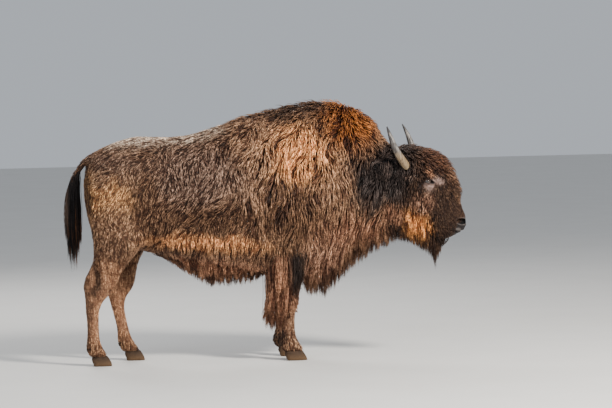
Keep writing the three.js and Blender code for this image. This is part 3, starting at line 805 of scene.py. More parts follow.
def spikes(name, paths, widths, flats, roots, tones, unwraps, finish):
    """A piece of many closed spikes. Each follows its path of points, is as wide as its widths say,
    is flat across `flats`, and carries its root's place, how far along it a point is and its tone."""
    count, rings = paths.shape[0], paths.shape[1] - 1
    onward = unit(np.gradient(paths, axis=1))
    aside = unit(np.cross(onward, flats[:, None, :]))
    rise = np.cross(onward, aside)
    radius = widths[:, :, None, None] / 2
    ring = aside[:, :, None, :] * np.cos(TURNS)[None, None, :, None]
    ring = ring + 0.6 * rise[:, :, None, :] * np.sin(TURNS)[None, None, :, None]
    shell = paths[:, :-1, None, :] + ring[:, :-1] * radius[:, :-1]
    points = np.concatenate([shell.reshape(count, rings * SIDES, 3), paths[:, -1:, :]], 1)
    each = rings * SIDES + 1
    faces = [(0, 2, 1)]
    for k in range(rings - 1):
        for i in range(SIDES):
            a, b = k * SIDES + i, k * SIDES + (i + 1) % SIDES
            faces += [(a, b, b + SIDES), (a, b + SIDES, a + SIDES)]
    last = (rings - 1) * SIDES
    faces += [(last + i, last + (i + 1) % SIDES, last + SIDES) for i in range(SIDES)]
    faces = np.array(faces)
    all_faces = (faces[None] + np.arange(count)[:, None, None] * each).reshape(-1)
    mesh = bpy.data.meshes.new(name)
    mesh.vertices.add(count * each)
    mesh.vertices.foreach_set("co", points.astype(np.float32).ravel())
    mesh.loops.add(len(all_faces))
    mesh.loops.foreach_set("vertex_index", all_faces.astype(np.int32))
    mesh.polygons.add(len(all_faces) // 3)
    mesh.polygons.foreach_set("loop_start", np.arange(0, len(all_faces), 3, dtype=np.int32))
    mesh.update(calc_edges=True)
    step = np.repeat(np.linspace(0, 1, rings + 1), SIDES)[:each]
    across = np.append(np.tile(np.linspace(-0.5, 0.5, SIDES), rings), 0.0)
    spread = np.stack([across, step - 0.5 - 0.2 * (np.arange(each) == 1)], 1) * PATCH
    layer = mesh.uv_layers.new(name="OFBake")
    placed = (unwraps[:, None, :] + spread[None]).reshape(-1, 2)
    layer.uv.foreach_set("vector", placed[all_faces].astype(np.float32).ravel())
    piece = bpy.data.objects.new(name, mesh)
    hold(piece, "root", np.repeat(roots, each, axis=0))
    hold(piece, "along", np.tile(step, count))
    hold(piece, "tone", np.repeat(tones, each))
    into_scene(piece)
    smooth_all(piece)
    piece.data.materials.append(finish.material)
    return piece


def bare(points):
    """1 where no tufts grow: about the eyes, on the nose, under the tail and at the hooves."""
    along, over, _ = on_head(points).T
    long, high = turned(along - EYE_ALONG, over - EYE_OVER, EYE_TILT)
    eye = 1 - fade(np.hypot((long - 0.008) / 0.055, (high - 0.001) / 0.034), 0.75, 1.05)
    under = 1 - fade(np.hypot((along - 0.264) / 0.026, (over - 0.134) / 0.028), 0.70, 1.05)
    front = 1 - fade(np.hypot((along - 0.268) / 0.036, (over - 0.203) / 0.024), 0.55, 1.15)
    nose = fade(along + 0.35 * over, 0.572, 0.592)
    face = np.maximum.reduce([eye, under, front, nose]) * (along > 0.12)
    x, y, z = points.T
    by_the_tail = (np.abs(x - tail_gap(z)) < 0.030) & (np.abs(y) < 0.035) & (np.abs(z - 1.235) < 0.05)
    return np.maximum.reduce([face, by_the_tail, z < 0.052])


def strands(roots, lies, reach, random):
    """A number from 0 to 1 for each root, much alike along the lie of the hair, so that it draws out
    into strands as long as twice the reach."""
    tree = KDTree(len(roots))
    for i, root in enumerate(roots.tolist()):
        tree.insert(root, i)
    tree.balance()
    noise = random.normal(0, 1, len(roots))
    total = noise.copy()
    for step in STRAND_STEPS:
        spots = roots + lies * (reach * step)[:, None]
        total += noise[[tree.find(spot)[1] for spot in spots.tolist()]]
    return total.argsort().argsort() / len(total)


def sow(ground, chosen, density, random):
    """Roots spread evenly over the chosen triangles, so many to each square metre."""
    faces = np.flatnonzero(chosen)
    wanted = ground.areas[faces] * density[faces]
    total = wanted.cumsum()
    marks = np.arange(random.random(), total[-1], 1.0)
    picked = np.searchsorted(total, marks)
    u, v = random.random((2, len(marks)))
    over = u + v > 1
    u, v = np.where(over, 1 - u, u), np.where(over, 1 - v, v)
    share = np.stack([1 - u - v, u, v], 1)
    corners = ground.faces[faces[picked]]
    points = (ground.points[corners] * share[:, :, None]).sum(1)
    normals = unit((ground.normals[corners] * share[:, :, None]).sum(1))
    unwraps = (ground.unwrapped(chosen)[picked] * share[:, :, None]).sum(1)
    return points, normals, unwraps


def grow(ground, name, chosen, segments, random, finish, style=groom):
    """A piece of coat on the chosen triangles: tufts that follow the hide and the lie of the hair."""
    density = tuft_density(ground.centres, style) * (1 - bare(ground.centres))
    roots, normals, unwraps = sow(ground, chosen, density, random)
    count = len(roots)
    lie, length, width, depth, curl, stand = style(roots)
    strand = strands(roots, along_surface(lie, normals), length * 0.8 / (1 + curl), random)
    length = length * random.uniform(0.72, 1.22, count)
    width = width * random.uniform(0.75, 1.25, count)
    top = depth * (0.55 + 0.32 * strand + 0.2 * random.random(count))
    top = top + stand * length * 0.22 * random.random(count) ** 2
    even = 0.35 + 0.65 * fade(length, 0.012, 0.035)
    tones = 0.5 + (0.82 * strand + 0.18 * random.random(count) - 0.5) * even
    bend = random.normal(0, 1, count) * 0.09 + (strand - 0.5) * 0.9 * curl
    phase = random.uniform(0, 2, count) + 9 * strand
    places, ups = roots, normals
    steps = np.linspace(0, 1, segments + 1)
    path = [roots - normals * TUFT_ROOT]
    for k, u in enumerate(steps[1:], 1):
        lie = style(places)[0] if k > 1 else lie
        flat = along_surface(lie, ups)
        side = np.cross(ups, flat)
        flat = unit(flat + side * (bend + 0.35 * curl * np.sin(phase + 7 * u))[:, None])
        stride = length / segments * (1.15 if k > 1 else 0.7)
        onward = places + flat * stride[:, None]
        settled, up = ground.settle(onward)
        # Past an edge of the hide, such as an ear's rim or the top of a hoof, a tuft goes straight on.
        free = np.linalg.norm(onward - settled, axis=1) > np.maximum(stride * 0.45, 0.004)
        free &= ((onward - settled) * up).sum(1) > 0
        places = np.where(free[:, None], onward, settled)
        ups = np.where(free[:, None], ups, up)
        height = top * (1 - (1 - u) ** 2.0)
        wave = curl * width * np.sin(phase * 1.7 + 5 * u) * 0.5 * u
        path.append(places + ups * (height + wave)[:, None])
    paths = np.stack(path, 1)
    profile = np.interp(steps, (0, 0.35, 0.75, 1), (0.75, 1.0, 0.7, 0))
    widths = width[:, None] * profile[None]
    return spikes(name, paths, widths, normals, roots, tones, unwraps, finish)


def ear_groom(points):
    """Hair of the ears: it spreads from the middle of each and droops backwards."""
    lie = groom(points)[0]
    for node in EARS:
        low, high = (np.array(corner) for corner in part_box(node))
        near = ((points > low - 0.03) & (points < high + 0.03)).all(1)[:, None]
        outward = unit(points - (low + high) / 2)
        lie = np.where(near, outward + np.array((-0.55, 0, -0.45)), lie)
    size = np.ones(len(points))
    return lie, 0.040 * size, 0.0040 * size, 0.012 * size, 1.3 * size, 0.7 * size


def tuft_density(points, style):
    """How many tufts grow on a square metre: short flat hair is left more to the hide's own finish."""
    length, width = style(points)[1:3]
    cover = 1.02 + 1.9 * fade(length, 0.014, 0.075)
    return cover / (0.5 * length * width)


# ---- hanging hair ---------------------------------------------------------------------------------
LOCK_SEGMENTS = 5
ROOT_HEIGHTS = (0.35, 1.0)  # how far up a node's height its locks may start
SINGLE_SHARE, SINGLE_DROP = 0.12, 0.012  # how many hang as single hairs, and how much lower
SINGLE_REACH = 0.03  # how far they stay from their bundle's lowest lock


def columns_of(node, tree, count, random):
    """Random upright lines through a CAD node: the lower end of each and a height within it."""
    low, top = (np.array(corner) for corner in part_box(node))
    feet, starts = [], []
    while len(feet) < count:
        x, y = random.uniform(low[:2], top[:2])
        foot = tree.ray_cast((x, y, low[2] - 1), UP)[0]
        if foot is None:
            continue
        head = tree.ray_cast((x, y, top[2] + 1), -UP)[0]
        feet.append(foot)
        starts.append((x, y, foot.z + (head.z - foot.z) * random.uniform(*ROOT_HEIGHTS)))
    return np.array(feet), np.array(starts)


def hang(
    ground, name, node, random, finish, grown, count, width, ragged, raised, wave, together, cropped
):
    """Long hair that fills a CAD node: locks that spring from the chosen triangles of the hide and
    hang to about the node's lower edge, those in front cropped."""
    shape = node_tree(node)
    feet, starts = columns_of(node, shape, count, random)
    starts[:, 2] += raised * random.random(count)
    chosen = np.flatnonzero(grown)
    tree = BVHTree.FromPolygons(ground.points.tolist(), ground.faces[chosen].tolist())
    found = [tree.find_nearest(start) for start in starts.tolist()]
    roots = np.array([place for place, *_ in found])
    normals = np.array([normal for _, normal, *_ in found])
    faces = np.array([face for _, _, face, _ in found])
    # Tips are drawn together in bundles, and each bundle ends at a height of its own.
    middles = random.choice(count, count // together, replace=False)
    away = np.linalg.norm(feet[:, None, :2] - feet[None, middles, :2], axis=2)
    bundle = away.argmin(1)
    order = np.lexsort((-feet[:, 2], bundle))
    lowest = np.empty(len(middles), int)
    lowest[bundle[order]] = order
    lead = lowest[bundle]
    drop = np.maximum(roots[:, 2] - feet[:, 2], 0.02)
    from_lead = np.linalg.norm((feet - feet[lead])[:, :2], axis=1)
    single = (random.random(count) < SINGLE_SHARE) & (from_lead < SINGLE_REACH)
    short = ragged * (0.8 * random.random(count)[lead] + 0.35 * random.random(count) ** 1.5 - 0.3)
    short = np.where(single, -SINGLE_DROP / drop, short)
    short = short + cropped * fade(feet[:, 0], 0.08, 0.19)
    tips = feet.copy()
    pull = random.uniform(0.25, 0.85, count) * np.where(single, 0.6, 1)
    tips[:, :2] += (feet[lead, :2] - feet[:, :2]) * pull[:, None]
    for tip in tips:
        foot = shape.ray_cast((tip[0], tip[1], -1), UP)[0]
        tip[2] = foot.z if foot else tip[2]
    tips[:, 2] += short * drop
    reach = np.clip(np.linalg.norm(tips[:, :2] - roots[:, :2], axis=1), 0.010, 0.05)
    out = roots + unit(normals * (1, 1, 0.25)) * reach[:, None] * 0.9 - np.outer(0.12 * drop, UP)
    over = tips + np.outer(0.55 * drop, UP)
    over[:, :2] += (starts[:, :2] - tips[:, :2]) * 0.5
    steps = np.linspace(0, 1, LOCK_SEGMENTS + 1)[None, :, None]
    curve = (1 - steps) ** 3 * (roots - normals * LOCK_ROOT)[:, None]
    curve = curve + 3 * (1 - steps) ** 2 * steps * out[:, None]
    curve = curve + 3 * (1 - steps) * steps**2 * over[:, None] + steps**3 * tips[:, None]
    turn = random.uniform(0, 2 * math.pi, count)
    turn = turn[lead] + 0.8 * (turn - math.pi) / math.pi
    aside = np.stack([np.cos(turn), np.sin(turn), np.zeros(count)], 1)
    sway = np.sin(steps * random.uniform(5, 11, count)[lead][:, None, None] + turn[:, None, None] * 3)
    paths = curve + aside[:, None] * sway * steps * wave
    profile = np.interp(steps[0, :, 0], (0, 0.3, 0.7, 1), (0.8, 1.0, 0.8, 0))
    thickness = np.where(single, 0.45, random.uniform(0.6, 1.4, count))
    widths = width * thickness[:, None] * profile[None]
    unwrapped = np.zeros((len(ground.faces), 2))
    unwrapped[grown] = ground.unwrapped(grown).mean(1)
    marks = paths[:, 2:].mean(1)
    tones = 0.6 * random.random(count)[lead] + 0.4 * random.random(count)
    return spikes(name, paths, widths, aside, marks, tones, unwrapped[chosen[faces]], finish)


# ---- colours of the coat --------------------------------------------------------------------------
BROWN = (0.202, 0.103, 0.061)
GREY_BROWN = (0.232, 0.138, 0.106)
SHEEN_GREY = (0.640, 0.480, 0.395)
OCHRE = (0.740, 0.385, 0.178)
TAN = (0.510, 0.262, 0.150)
HAZEL = (0.350, 0.192, 0.118)
UMBER = (0.100, 0.045, 0.024)
DARK = (0.054, 0.026, 0.016)
BLACK = (0.026, 0.017, 0.016)
SOOT = (0.014, 0.0075, 0.006)
AUBURN = (0.062, 0.024, 0.013)
GOLD = (0.780, 0.352, 0.156)
BRONZE = (0.700, 0.310, 0.130)
BRIGHT_GOLD = (0.780, 0.320, 0.105)
RUST = (0.200, 0.060, 0.012)
RED_BROWN = (0.245, 0.110, 0.066)
FOX = (0.340, 0.155, 0.092)
COPPER = (0.300, 0.140, 0.085)
PALE_HAIR = (0.270, 0.178, 0.146)
CHESTNUT = (0.330, 0.168, 0.112)
MOUSE = (0.310, 0.165, 0.100)
SKIN_PINK = (0.230, 0.150, 0.126)
SKIN_DARK = (0.120, 0.076, 0.062)
LIP_GREY = (0.100, 0.086, 0.080)
NOSE_BLACK = (0.014, 0.011, 0.011)

# Each row is an oval patch on the side view, drawn over those before it: its place, how far it
# reaches each way, how strong it is and its colour.
BODY_MARKS = (
    (-0.45, 1.22, 0.30, 0.20, 0.9, GREY_BROWN),  # ribs
    (-0.99, 1.12, 0.16, 0.20, 1.0, OCHRE),  # rump
    (-1.00, 1.30, 0.15, 0.08, 0.9, GREY_BROWN),
    (-1.03, 1.19, 0.07, 0.05, 0.7, GREY_BROWN),
    (-0.86, 1.22, 0.08, 0.11, 0.7, GREY_BROWN),
    (-0.96, 0.88, 0.17, 0.15, 0.9, HAZEL),  # thigh
    (-0.76, 1.06, 0.09, 0.17, 0.9, BROWN),  # before the hip
    (-0.82, 1.47, 0.24, 0.08, 1.0, SHEEN_GREY),  # croup: painted sheen
    (-0.50, 1.49, 0.24, 0.06, 1.0, SHEEN_GREY),  # loin: painted sheen
    (-0.36, 0.95, 0.26, 0.07, 0.8, UMBER),  # under the ribs
    (-0.38, 0.80, 0.34, 0.050, 1.0, GOLD),  # band along the belly
    (-0.34, 0.60, 0.36, 0.09, 1.0, FOX),  # its fringe
    (-0.02, 1.42, 0.16, 0.14, 1.0, MOUSE),  # behind the hump
    (0.24, 1.34, 0.17, 0.16, 1.0, BRONZE),  # shoulder
    (0.20, 0.98, 0.20, 0.14, 0.8, UMBER),
    (0.05, 1.65, 0.45, 0.100, 1.0, DARK),  # top of the hump
    (0.56, 1.52, 0.16, 0.14, 1.0, RUST),  # crest
    (0.40, 1.20, 0.12, 0.16, 0.7, BROWN),
    (0.70, 1.18, 0.15, 0.20, 1.0, BLACK),  # behind the head
    (0.77, 1.33, 0.07, 0.05, 0.9, BLACK),
    (0.56, 0.86, 0.22, 0.12, 1.0, RED_BROWN),  # throat
    (0.36, 0.66, 0.16, 0.16, 0.9, CHESTNUT),  # brisket
    (0.10, 0.35, 0.15, 0.25, 1.0, COPPER),  # long hair of the forelegs
    (0.190, 0.59, 0.065, 0.18, 1.0, SOOT),  # forearm
    (0.265, 0.54, 0.022, 0.14, 0.8, CHESTNUT),  # its front edge
    (0.17, 0.18, 0.08, 0.15, 1.0, HAZEL),  # lower forelegs
    (0.07, 0.12, 0.040, 0.08, 0.9, DARK),
    (-1.00, 0.30, 0.32, 0.21, 1.0, TAN),  # lower hind legs
    (-1.03, 0.60, 0.10, 0.09, 0.8, TAN),  # gaskin
    (-1.155, 0.34, 0.030, 0.24, 0.8, BROWN),  # back edge of the hind leg: painted shade
    (-1.088, 0.575, 0.020, 0.10, 0.9, DARK),  # before the heel cord: painted shade in the hollow
    (-1.135, 1.06, 0.035, 0.22, 0.8, DARK),  # beside the tail: painted shade under it
    (-1.19, 1.28, 0.06, 0.08, 0.9, UMBER),  # root of the tail
)
HEAD_MARKS = (
    (0.16, 0.28, 0.18, 0.10, 0.9, AUBURN),  # bonnet
    (0.28, 0.29, 0.06, 0.05, 0.5, BROWN),
    (-0.04, 0.09, 0.09, 0.09, 0.9, BLACK),  # about the ear
    (0.06, -0.01, 0.10, 0.17, 1.0, BLACK),  # behind the cheek
    (0.30, 0.03, 0.07, 0.07, 0.8, CHESTNUT),  # cheek
    (0.37, -0.10, 0.105, 0.080, 1.0, BRIGHT_GOLD),  # jaw
    (0.20, -0.15, 0.09, 0.06, 0.9, RED_BROWN),
    (0.48, -0.18, 0.05, 0.10, 0.9, DARK),  # front of the beard
    (0.50, 0.04, 0.09, 0.10, 1.0, DARK),  # muzzle
    (0.45, 0.205, 0.06, 0.028, 0.9, BROWN),  # bridge
)
EYE_MARKS = (
    (0.115, 0.098, 0.022, 0.015, 0.6, PALE_HAIR),  # skin round the horn
    (0.196, 0.190, 0.034, 0.012, 0.7, FOX),  # brow
    (0.262, 0.196, 0.034, 0.025, 0.9, PALE_HAIR),  # before the eye
    (0.266, 0.128, 0.028, 0.026, 0.9, PALE_HAIR),  # under the eye
)


def marked(finish, place, marks, colour):
    """A colour with oval patches drawn over it, in the first and third of a place's numbers."""
    for first, second, wide, high, strength, patch in marks:
        away = finish.vector("SUBTRACT", place, (first, 0, second)).out()
        away = finish.vector("MULTIPLY", away, (1 / wide, 0, 1 / high)).out()
        square = finish.vector("DOT_PRODUCT", away, away).out("Value")
        share = finish.math("EXPONENT", square * square * -0.7) * strength
        colour = finish.blend(share, colour, patch)
    return colour


def head_place(finish, place):
    """A place as distances along the head, aside and over it."""
    away = finish.vector("SUBTRACT", place, tuple(HEAD_ROOT)).out()
    parts = [finish.vector("DOT_PRODUCT", away, tuple(axis)).out("Value") for axis in (ALONG, ASIDE, OVER)]
    return finish.node("ShaderNodeCombineXYZ", None, *parts).out()


def coat_colour(finish, place):
    """The markings, alike for hide and coat: ragged patches, sharper ones about the eye, and painted shade
    between the legs.
    """
    shift = finish.vector("SUBTRACT", finish.noise(place, 9.0, 3.0, "Color"), (0.5, 0.5, 0.5)).out()
    ragged = finish.vector("ADD", place, finish.scaled(shift, 0.13)).out()
    body = marked(finish, ragged, BODY_MARKS, BROWN)
    _, out, height = finish.parts(ragged)
    # Painted shade: darker near the middle line between the legs and under the belly, from hock height up
    # to the belly.
    between = (1 - finish.math("ABSOLUTE", out).fade(0.06, 0.12)) * height.fade(0.35, 0.50)
    body = finish.blend(between * (1 - height.fade(0.66, 0.80)) * 0.75, body, UMBER)
    head = marked(finish, head_place(finish, ragged), HEAD_MARKS, DARK)
    head = marked(finish, head_place(finish, place), EYE_MARKS, head)
    away = finish.vector("SUBTRACT", ragged, tuple(HEAD_ROOT)).out()
    share = finish.vector("DOT_PRODUCT", away, tuple(AHEAD)).out("Value").fade(-0.05, 0.04)
    return finish.blend(share, body, head)


def tuft_values(finish):
    """What each point of a tuft or lock knows: its root's place, how far along it is, and its tone."""
    return finish.held("root", "Vector"), finish.held("along"), finish.held("tone")


def coat_finish():
    """Hair: each tuft has its own tone, darker towards the root with painted shade, lightest at the tip.
    """
    finish = Finish("coat_hair")
    root, along, tone = tuft_values(finish)
    colour = coat_colour(finish, root)
    locks = finish.noise(root, 34.0, 2.0)
    curls = finish.noise(finish.here(), 66.0, 1.0, Distortion=1.2)
    # Painted shade: the factor on along darkens each tuft towards its root.
    shade = (0.14 + 1.80 * tone.fade(0.12, 0.95)) * (0.42 + 0.85 * along)
    shade = shade * (0.68 + 0.64 * locks.fade(0.3, 0.7)) * (0.50 + 1.0 * curls.fade(0.37, 0.63))
    tint = finish.blend(shade.fade(0.1, 1.2), (1.27, 0.95, 0.78), (0.98, 1.05, 0.98))
    colour = finish.vector("MULTIPLY", finish.scaled(colour, shade), tint).out()
    finish.surface(**{"Base Color": colour, "Roughness": 0.60, "Specular IOR Level": 0.3})
    return finish


def tail_finish():
    """Long black hair, brown behind the dock and reddish at some of the tips."""
    finish = Finish("tail_hair")
    _, along, tone = tuft_values(finish)
    forward, _, height = finish.parts(finish.here())
    black = finish.blend(tone, (0.006, 0.005, 0.006), (0.024, 0.017, 0.015))
    brown = finish.blend(tone, (0.050, 0.034, 0.026), (0.190, 0.125, 0.095))
    behind = (1 - (forward + 0.01 * tone).fade(-1.268, -1.240)) * height.fade(0.80, 0.98)
    colour = finish.blend(behind, black, brown)
    colour = finish.blend(along.fade(0.62, 1.0) * tone.fade(0.55, 0.75), colour, (0.34, 0.14, 0.06))
    finish.surface(**{"Base Color": colour, "Roughness": 0.55, "Specular IOR Level": 0.2})
    return finish


def ear_finish():
    """Nearly black outside and at the rim, grey curls within."""
    finish = Finish("ear_hair")
    root, along, tone = tuft_values(finish)
    away = [finish.vector("DISTANCE", root, tuple(middle(node))).out("Value") for node in EARS]
    inside = 1 - finish.math("MINIMUM", *away).fade(0.045, 0.075)
    grey = inside * tone.fade(0.35, 0.65)
    colour = finish.blend(tone, (0.010, 0.008, 0.008), (0.040, 0.026, 0.022))
    # Painted shade: each tuft darker towards its root.
    colour = finish.scaled(finish.blend(grey, colour, (0.240, 0.215, 0.205)), 0.40 + 0.80 * along)
    finish.surface(**{"Base Color": colour, "Roughness": 0.55, "Specular IOR Level": 0.4})
    return finish


def oval(finish, place, first, second, wide, high):
    """How far a place is from an oval's middle, 1 on its edge."""
    across = finish.vector("DOT_PRODUCT", place, tuple(first / wide)).out("Value")
    up = finish.vector("DOT_PRODUCT", place, tuple(second / high)).out("Value")
    return (across * across + up * up) ** 0.5


def from_head(finish, place, along, over):
    """A place as seen from a spot on the head's middle line."""
    return finish.vector("SUBTRACT", place, tuple(HEAD_ROOT + ALONG * along + OVER * over)).out()


def face_colour(finish, place, colour):
    """Bare skin: lids and the skin about them, the nose and the lips."""
    cloud = finish.noise(place, 75.0, 3.0)
    ragged = (cloud - 0.5) * 1.1
    pink = finish.blend(cloud.fade(0.35, 0.65), SKIN_DARK, SKIN_PINK)
    spot = from_head(finish, place, 0.272, 0.200)
    front = oval(finish, spot, ALONG, OVER, 0.050, 0.034) + ragged
    colour = finish.blend(1 - front.fade(0.65, 1.15), colour, pink)
    long_way, high_way = turned(ALONG, OVER, EYE_TILT)
    spot = from_head(finish, place, EYE_ALONG + 0.030, EYE_OVER - 0.012)
    under = oval(finish, spot, long_way, high_way, 0.038, 0.024) + ragged * 0.6
    colour = finish.blend(1 - under.fade(0.75, 1.10), colour, pink)
    spot = from_head(finish, place, EYE_ALONG, EYE_OVER + 0.003)
    lids = oval(finish, spot, long_way, high_way, EYE_LONG * 1.12, EYE_HIGH)
    colour = finish.blend((1 - lids.fade(1.15, 1.50)) * 0.95, colour, NOSE_BLACK)
    nose_up, nose_on = (OVER + ALONG * 0.25).normalized(), (ALONG - OVER * 0.25).normalized()
    nose = oval(finish, from_head(finish, place, 0.590, 0.070), nose_on, nose_up, 0.052, 0.090)
    colour = finish.blend(1 - nose.fade(0.85, 1.05), colour, NOSE_BLACK)
    lip = oval(finish, from_head(finish, place, 0.585, 0.060), ALONG, OVER, 0.024, 0.017) + ragged
    colour = finish.blend((1 - lip.fade(0.4, 1.1)) * 0.9, colour, LIP_GREY)
    long_way, high_way = turned(ALONG, OVER, math.radians(20))
    spot = from_head(finish, place, NOSTRIL_ALONG, NOSTRIL_OVER)
    hole = oval(finish, spot, long_way, high_way, 0.029, 0.021)
    band = (1 - hole.fade(1.10, 1.30)) * (0.5 + 0.5 * cloud.fade(0.4, 0.6))
    colour = finish.blend(band * 0.7, colour, LIP_GREY)
    # The nostril's opening nearly black: its dark skin, deepened with painted shade of the hole.
    return finish.blend(1 - hole.fade(0.80, 1.02), colour, (0.003, 0.0025, 0.0025))


def hide_finish():
    """Skin under the coat, with the short hair of the legs and the face, and bare skin; darker under long
    coat.
    """
    finish = Finish("hide")
    place = finish.here()
    hairs = finish.noise(finish.vector("MULTIPLY", place, (140.0, 140.0, 22.0)).out(), 1.0, 2.0)
    # Darker where the coat is long: a dark undercoat with painted shade beneath the tufts.
    shade = (0.14 + 0.55 * finish.held("short")) * (0.25 + 1.5 * hairs)
    colour = finish.scaled(coat_colour(finish, place), shade)
    colour = face_colour(finish, place, colour)
    relief = finish.bump(hairs, 0.5, 0.003)
    finish.surface(
        **{"Base Color": colour, "Roughness": 0.68, "Specular IOR Level": 0.15, "Normal": relief}
    )
    return finish


# ---- horns, hooves and eyes -----------------------------------------------------------------------
def solid_copy(name, nodes, voxel, rounds):
    """Copies of CAD nodes as one finer, softer piece."""
    piece = copy_of(name, nodes)
    apply(piece, "REMESH", mode="VOXEL", voxel_size=voxel, adaptivity=0.0)
    move_points(piece, relax(points_of(piece), edges_of(piece), rounds))
    smooth_all(piece)
    return piece


def make_horn(side, finish):
    node = "horn_" + side
    horn = solid_copy("fine_" + node, [node], HORN_VOXEL, 3)
    low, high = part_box(node)
    points, normals = points_of(horn), normals_of(horn)
    hold(horn, "up_it", (points[:, 2] - low.z) / (high.z - low.z))
    hold(horn, "to_rear", -normals[:, 0])
    horn.data.materials.append(finish.material)
    fit(horn, "horn", node)


def horn_finish():
    """Cream at the base, streaked grey up the shaft, painted shade on the side that faces backwards, and
    dark at the tip.
    """
    finish = Finish("horn")
    place = finish.here()
    up_it = finish.held("up_it")
    streaks = finish.noise(finish.vector("MULTIPLY", place, (95.0, 95.0, 11.0)).out(), 1.0, 4.0)
    rough = finish.noise(place, 40.0, 3.0)
    uneven = up_it + 0.16 * (rough - 0.5)
    colour = finish.blend(streaks.fade(0.38, 0.66), (0.040, 0.033, 0.030), (0.210, 0.190, 0.172))
    base = finish.blend(streaks.fade(0.3, 0.6), (0.085, 0.053, 0.028), (0.240, 0.165, 0.090))
    colour = finish.blend(1 - uneven.fade(0.24, 0.50), colour, base)
    # Painted shade: darker on the side of the horn that faces backwards.
    behind = finish.held("to_rear").fade(0.45, 0.95)
    colour = finish.blend(behind * 0.75, colour, (0.035, 0.030, 0.028))
    colour = finish.blend(uneven.fade(0.78, 0.93), colour, (0.028, 0.025, 0.025))
    rings = finish.math("SINE", (up_it + 0.02 * rough) * 150.0)
    height = streaks * 0.6 + rings * 0.12 * (1 - up_it.fade(0.3, 0.6))
    relief = finish.bump(height, 0.5, 0.003)
    finish.surface(**{"Base Color": colour, "Roughness": 0.42, "Normal": relief})
    return finish


def make_hoof(leg, finish):
    """The two claws and two dewclaws of a foot, with their soles flat on the floor."""
    nodes = [leg + part for part in ("_claw_inner", "_claw_outer", "_dewclaw_inner", "_dewclaw_outer")]
    hoof = solid_copy("fine_" + leg + "_hoof", nodes, HOOF_VOXEL, 22)
    move_points(hoof, points_of(hoof) + normals_of(hoof) * HOOF_FULL)
    points = points_of(hoof)
    bottom = points[:, 2].min()
    points[:, 2] = points[:, 2] - bottom * (1 - fade(points[:, 2], 0.0, 0.05))
    points[:, 2] = np.where(points[:, 2] < SOLE, 0.0, points[:, 2])
    dewclaw = points[:, 2] > DEWCLAW_HEIGHT
    centre = points[dewclaw].mean(0)
    points[dewclaw] += np.array((DEWCLAW_IN, 0, 0)) + (points[dewclaw] - centre) * (-0.2, -0.14, -0.2)
    # The walls lean in towards the coronet, and the heels are round.
    claws = ~dewclaw
    centre = points[claws].mean(0)
    lean = fade(points[:, 2], 0.012, 0.062) * claws
    points[:, :2] -= (points - centre)[:, :2] * lean[:, None] * (0.07, 0.09)
    heel = points[claws, 0].min()
    low_heel = (1 - fade(points[:, 0] - heel, 0.0, 0.045)) * (1 - fade(points[:, 2], 0.010, 0.040))
    points[:, 0] += low_heel * claws * 0.010
    move_points(hoof, points)
    hoof.data.materials.append(finish.material)
    fit(hoof, "hoof", *nodes)


def hoof_finish():
    """Dark brown horn with faint growth lines, dusty towards the floor."""
    finish = Finish("hoof")
    place = finish.here()
    height = finish.parts(place)[2]
    cloudy = finish.noise(place, 45.0, 4.0)
    grain = finish.noise(place, 260.0, 3.0)
    colour = finish.blend(cloudy.fade(0.35, 0.65), (0.018, 0.010, 0.006), (0.052, 0.030, 0.018))
    dust = (1 - (height + 0.05 * cloudy).fade(0.020, 0.085)) * (0.55 + 0.45 * grain.fade(0.4, 0.6))
    colour = finish.blend(dust, colour, (0.130, 0.076, 0.040))
    lines = finish.math("SINE", (height + 0.012 * cloudy) * 540.0)
    relief = finish.bump(lines * 0.10 + cloudy * 0.6 + grain * 0.3, 0.4, 0.002)
    finish.surface(
        **{"Base Color": colour, "Roughness": 0.7, "Specular IOR Level": 0.15, "Normal": relief}
    )
    return finish


def make_eye(side, finish):
    node = "eye_" + side
    centre = middle(node)
    bpy.ops.object.select_all(action="DESELECT")
    bpy.ops.mesh.primitive_uv_sphere_add(segments=64, ring_count=40, radius=EYE_RADIUS - 0.0004)
    eye = bpy.context.object
    eye.name = "wet_" + node
    gaze = ASIDE * (1 if side == "left" else -1)
    gaze = (gaze + AHEAD * 0.22 - UP * 0.05).normalized()
    local = points_of(eye)
    out = local[:, 2] / EYE_RADIUS
    local[:, 2] += 0.0016 * fade(out, 0.72, 0.97)  # the cornea stands out from the ball
    across = Vector((math.cos(PUPIL_DIP), 0, -math.sin(PUPIL_DIP)))
    first = (across - gaze * across.dot(gaze)).normalized()
    second = gaze.cross(first)
    axes = np.array([first, second, gaze])
    move_points(eye, local @ axes + np.array(centre))
    hold(eye, "look", local / EYE_RADIUS)
    smooth_all(eye)
    eye.data.materials.append(finish.material)
    fit(eye, "eye", node)


def eye_finish():
    """Nearly black brown with a long pupil, and wet."""
    finish = Finish("eye")
    look = finish.held("look", "Vector")
    level, rise, _ = finish.parts(look)
    ring = (level * level + rise * rise) ** 0.5
    fibres = finish.noise(look, 9.0, 3.0)
    iris = finish.blend(fibres, (0.012, 0.006, 0.003), (0.045, 0.019, 0.009))
    white = finish.blend(fibres, (0.030, 0.019, 0.015), (0.075, 0.050, 0.040))
    colour = finish.blend(ring.fade(0.60, 0.70), iris, white)
    slit = ((level * level) / 0.15 + (rise * rise) / 0.035) ** 0.5
    colour = finish.blend(1 - slit.fade(0.85, 1.05), colour, (0.003, 0.003, 0.004))
    finish.surface(**{"Base Color": colour, "Roughness": 0.08, "Coat Weight": 1.0, "Coat Roughness": 0.03})
    return finish


# ---- the animal -----------------------------------------------------------------------------------
# Where the pieces of coat meet, along the body and over the floor.
TAIL_FRONT, HIND_FRONT, RIBS_FRONT, NECK_BACK = -1.17, -0.62, -0.14, 0.42
THIGH_LOW, SHOULDER_LOW = 0.70, 0.60

make_camera()
make_stage()
hide = make_hide()
hold(hide, "short", 1 - fade(groom(points_of(hide))[1], 0.016, 0.036))
hide.data.materials.append(hide_finish().material)
fit(hide, "coat", *FLESH)

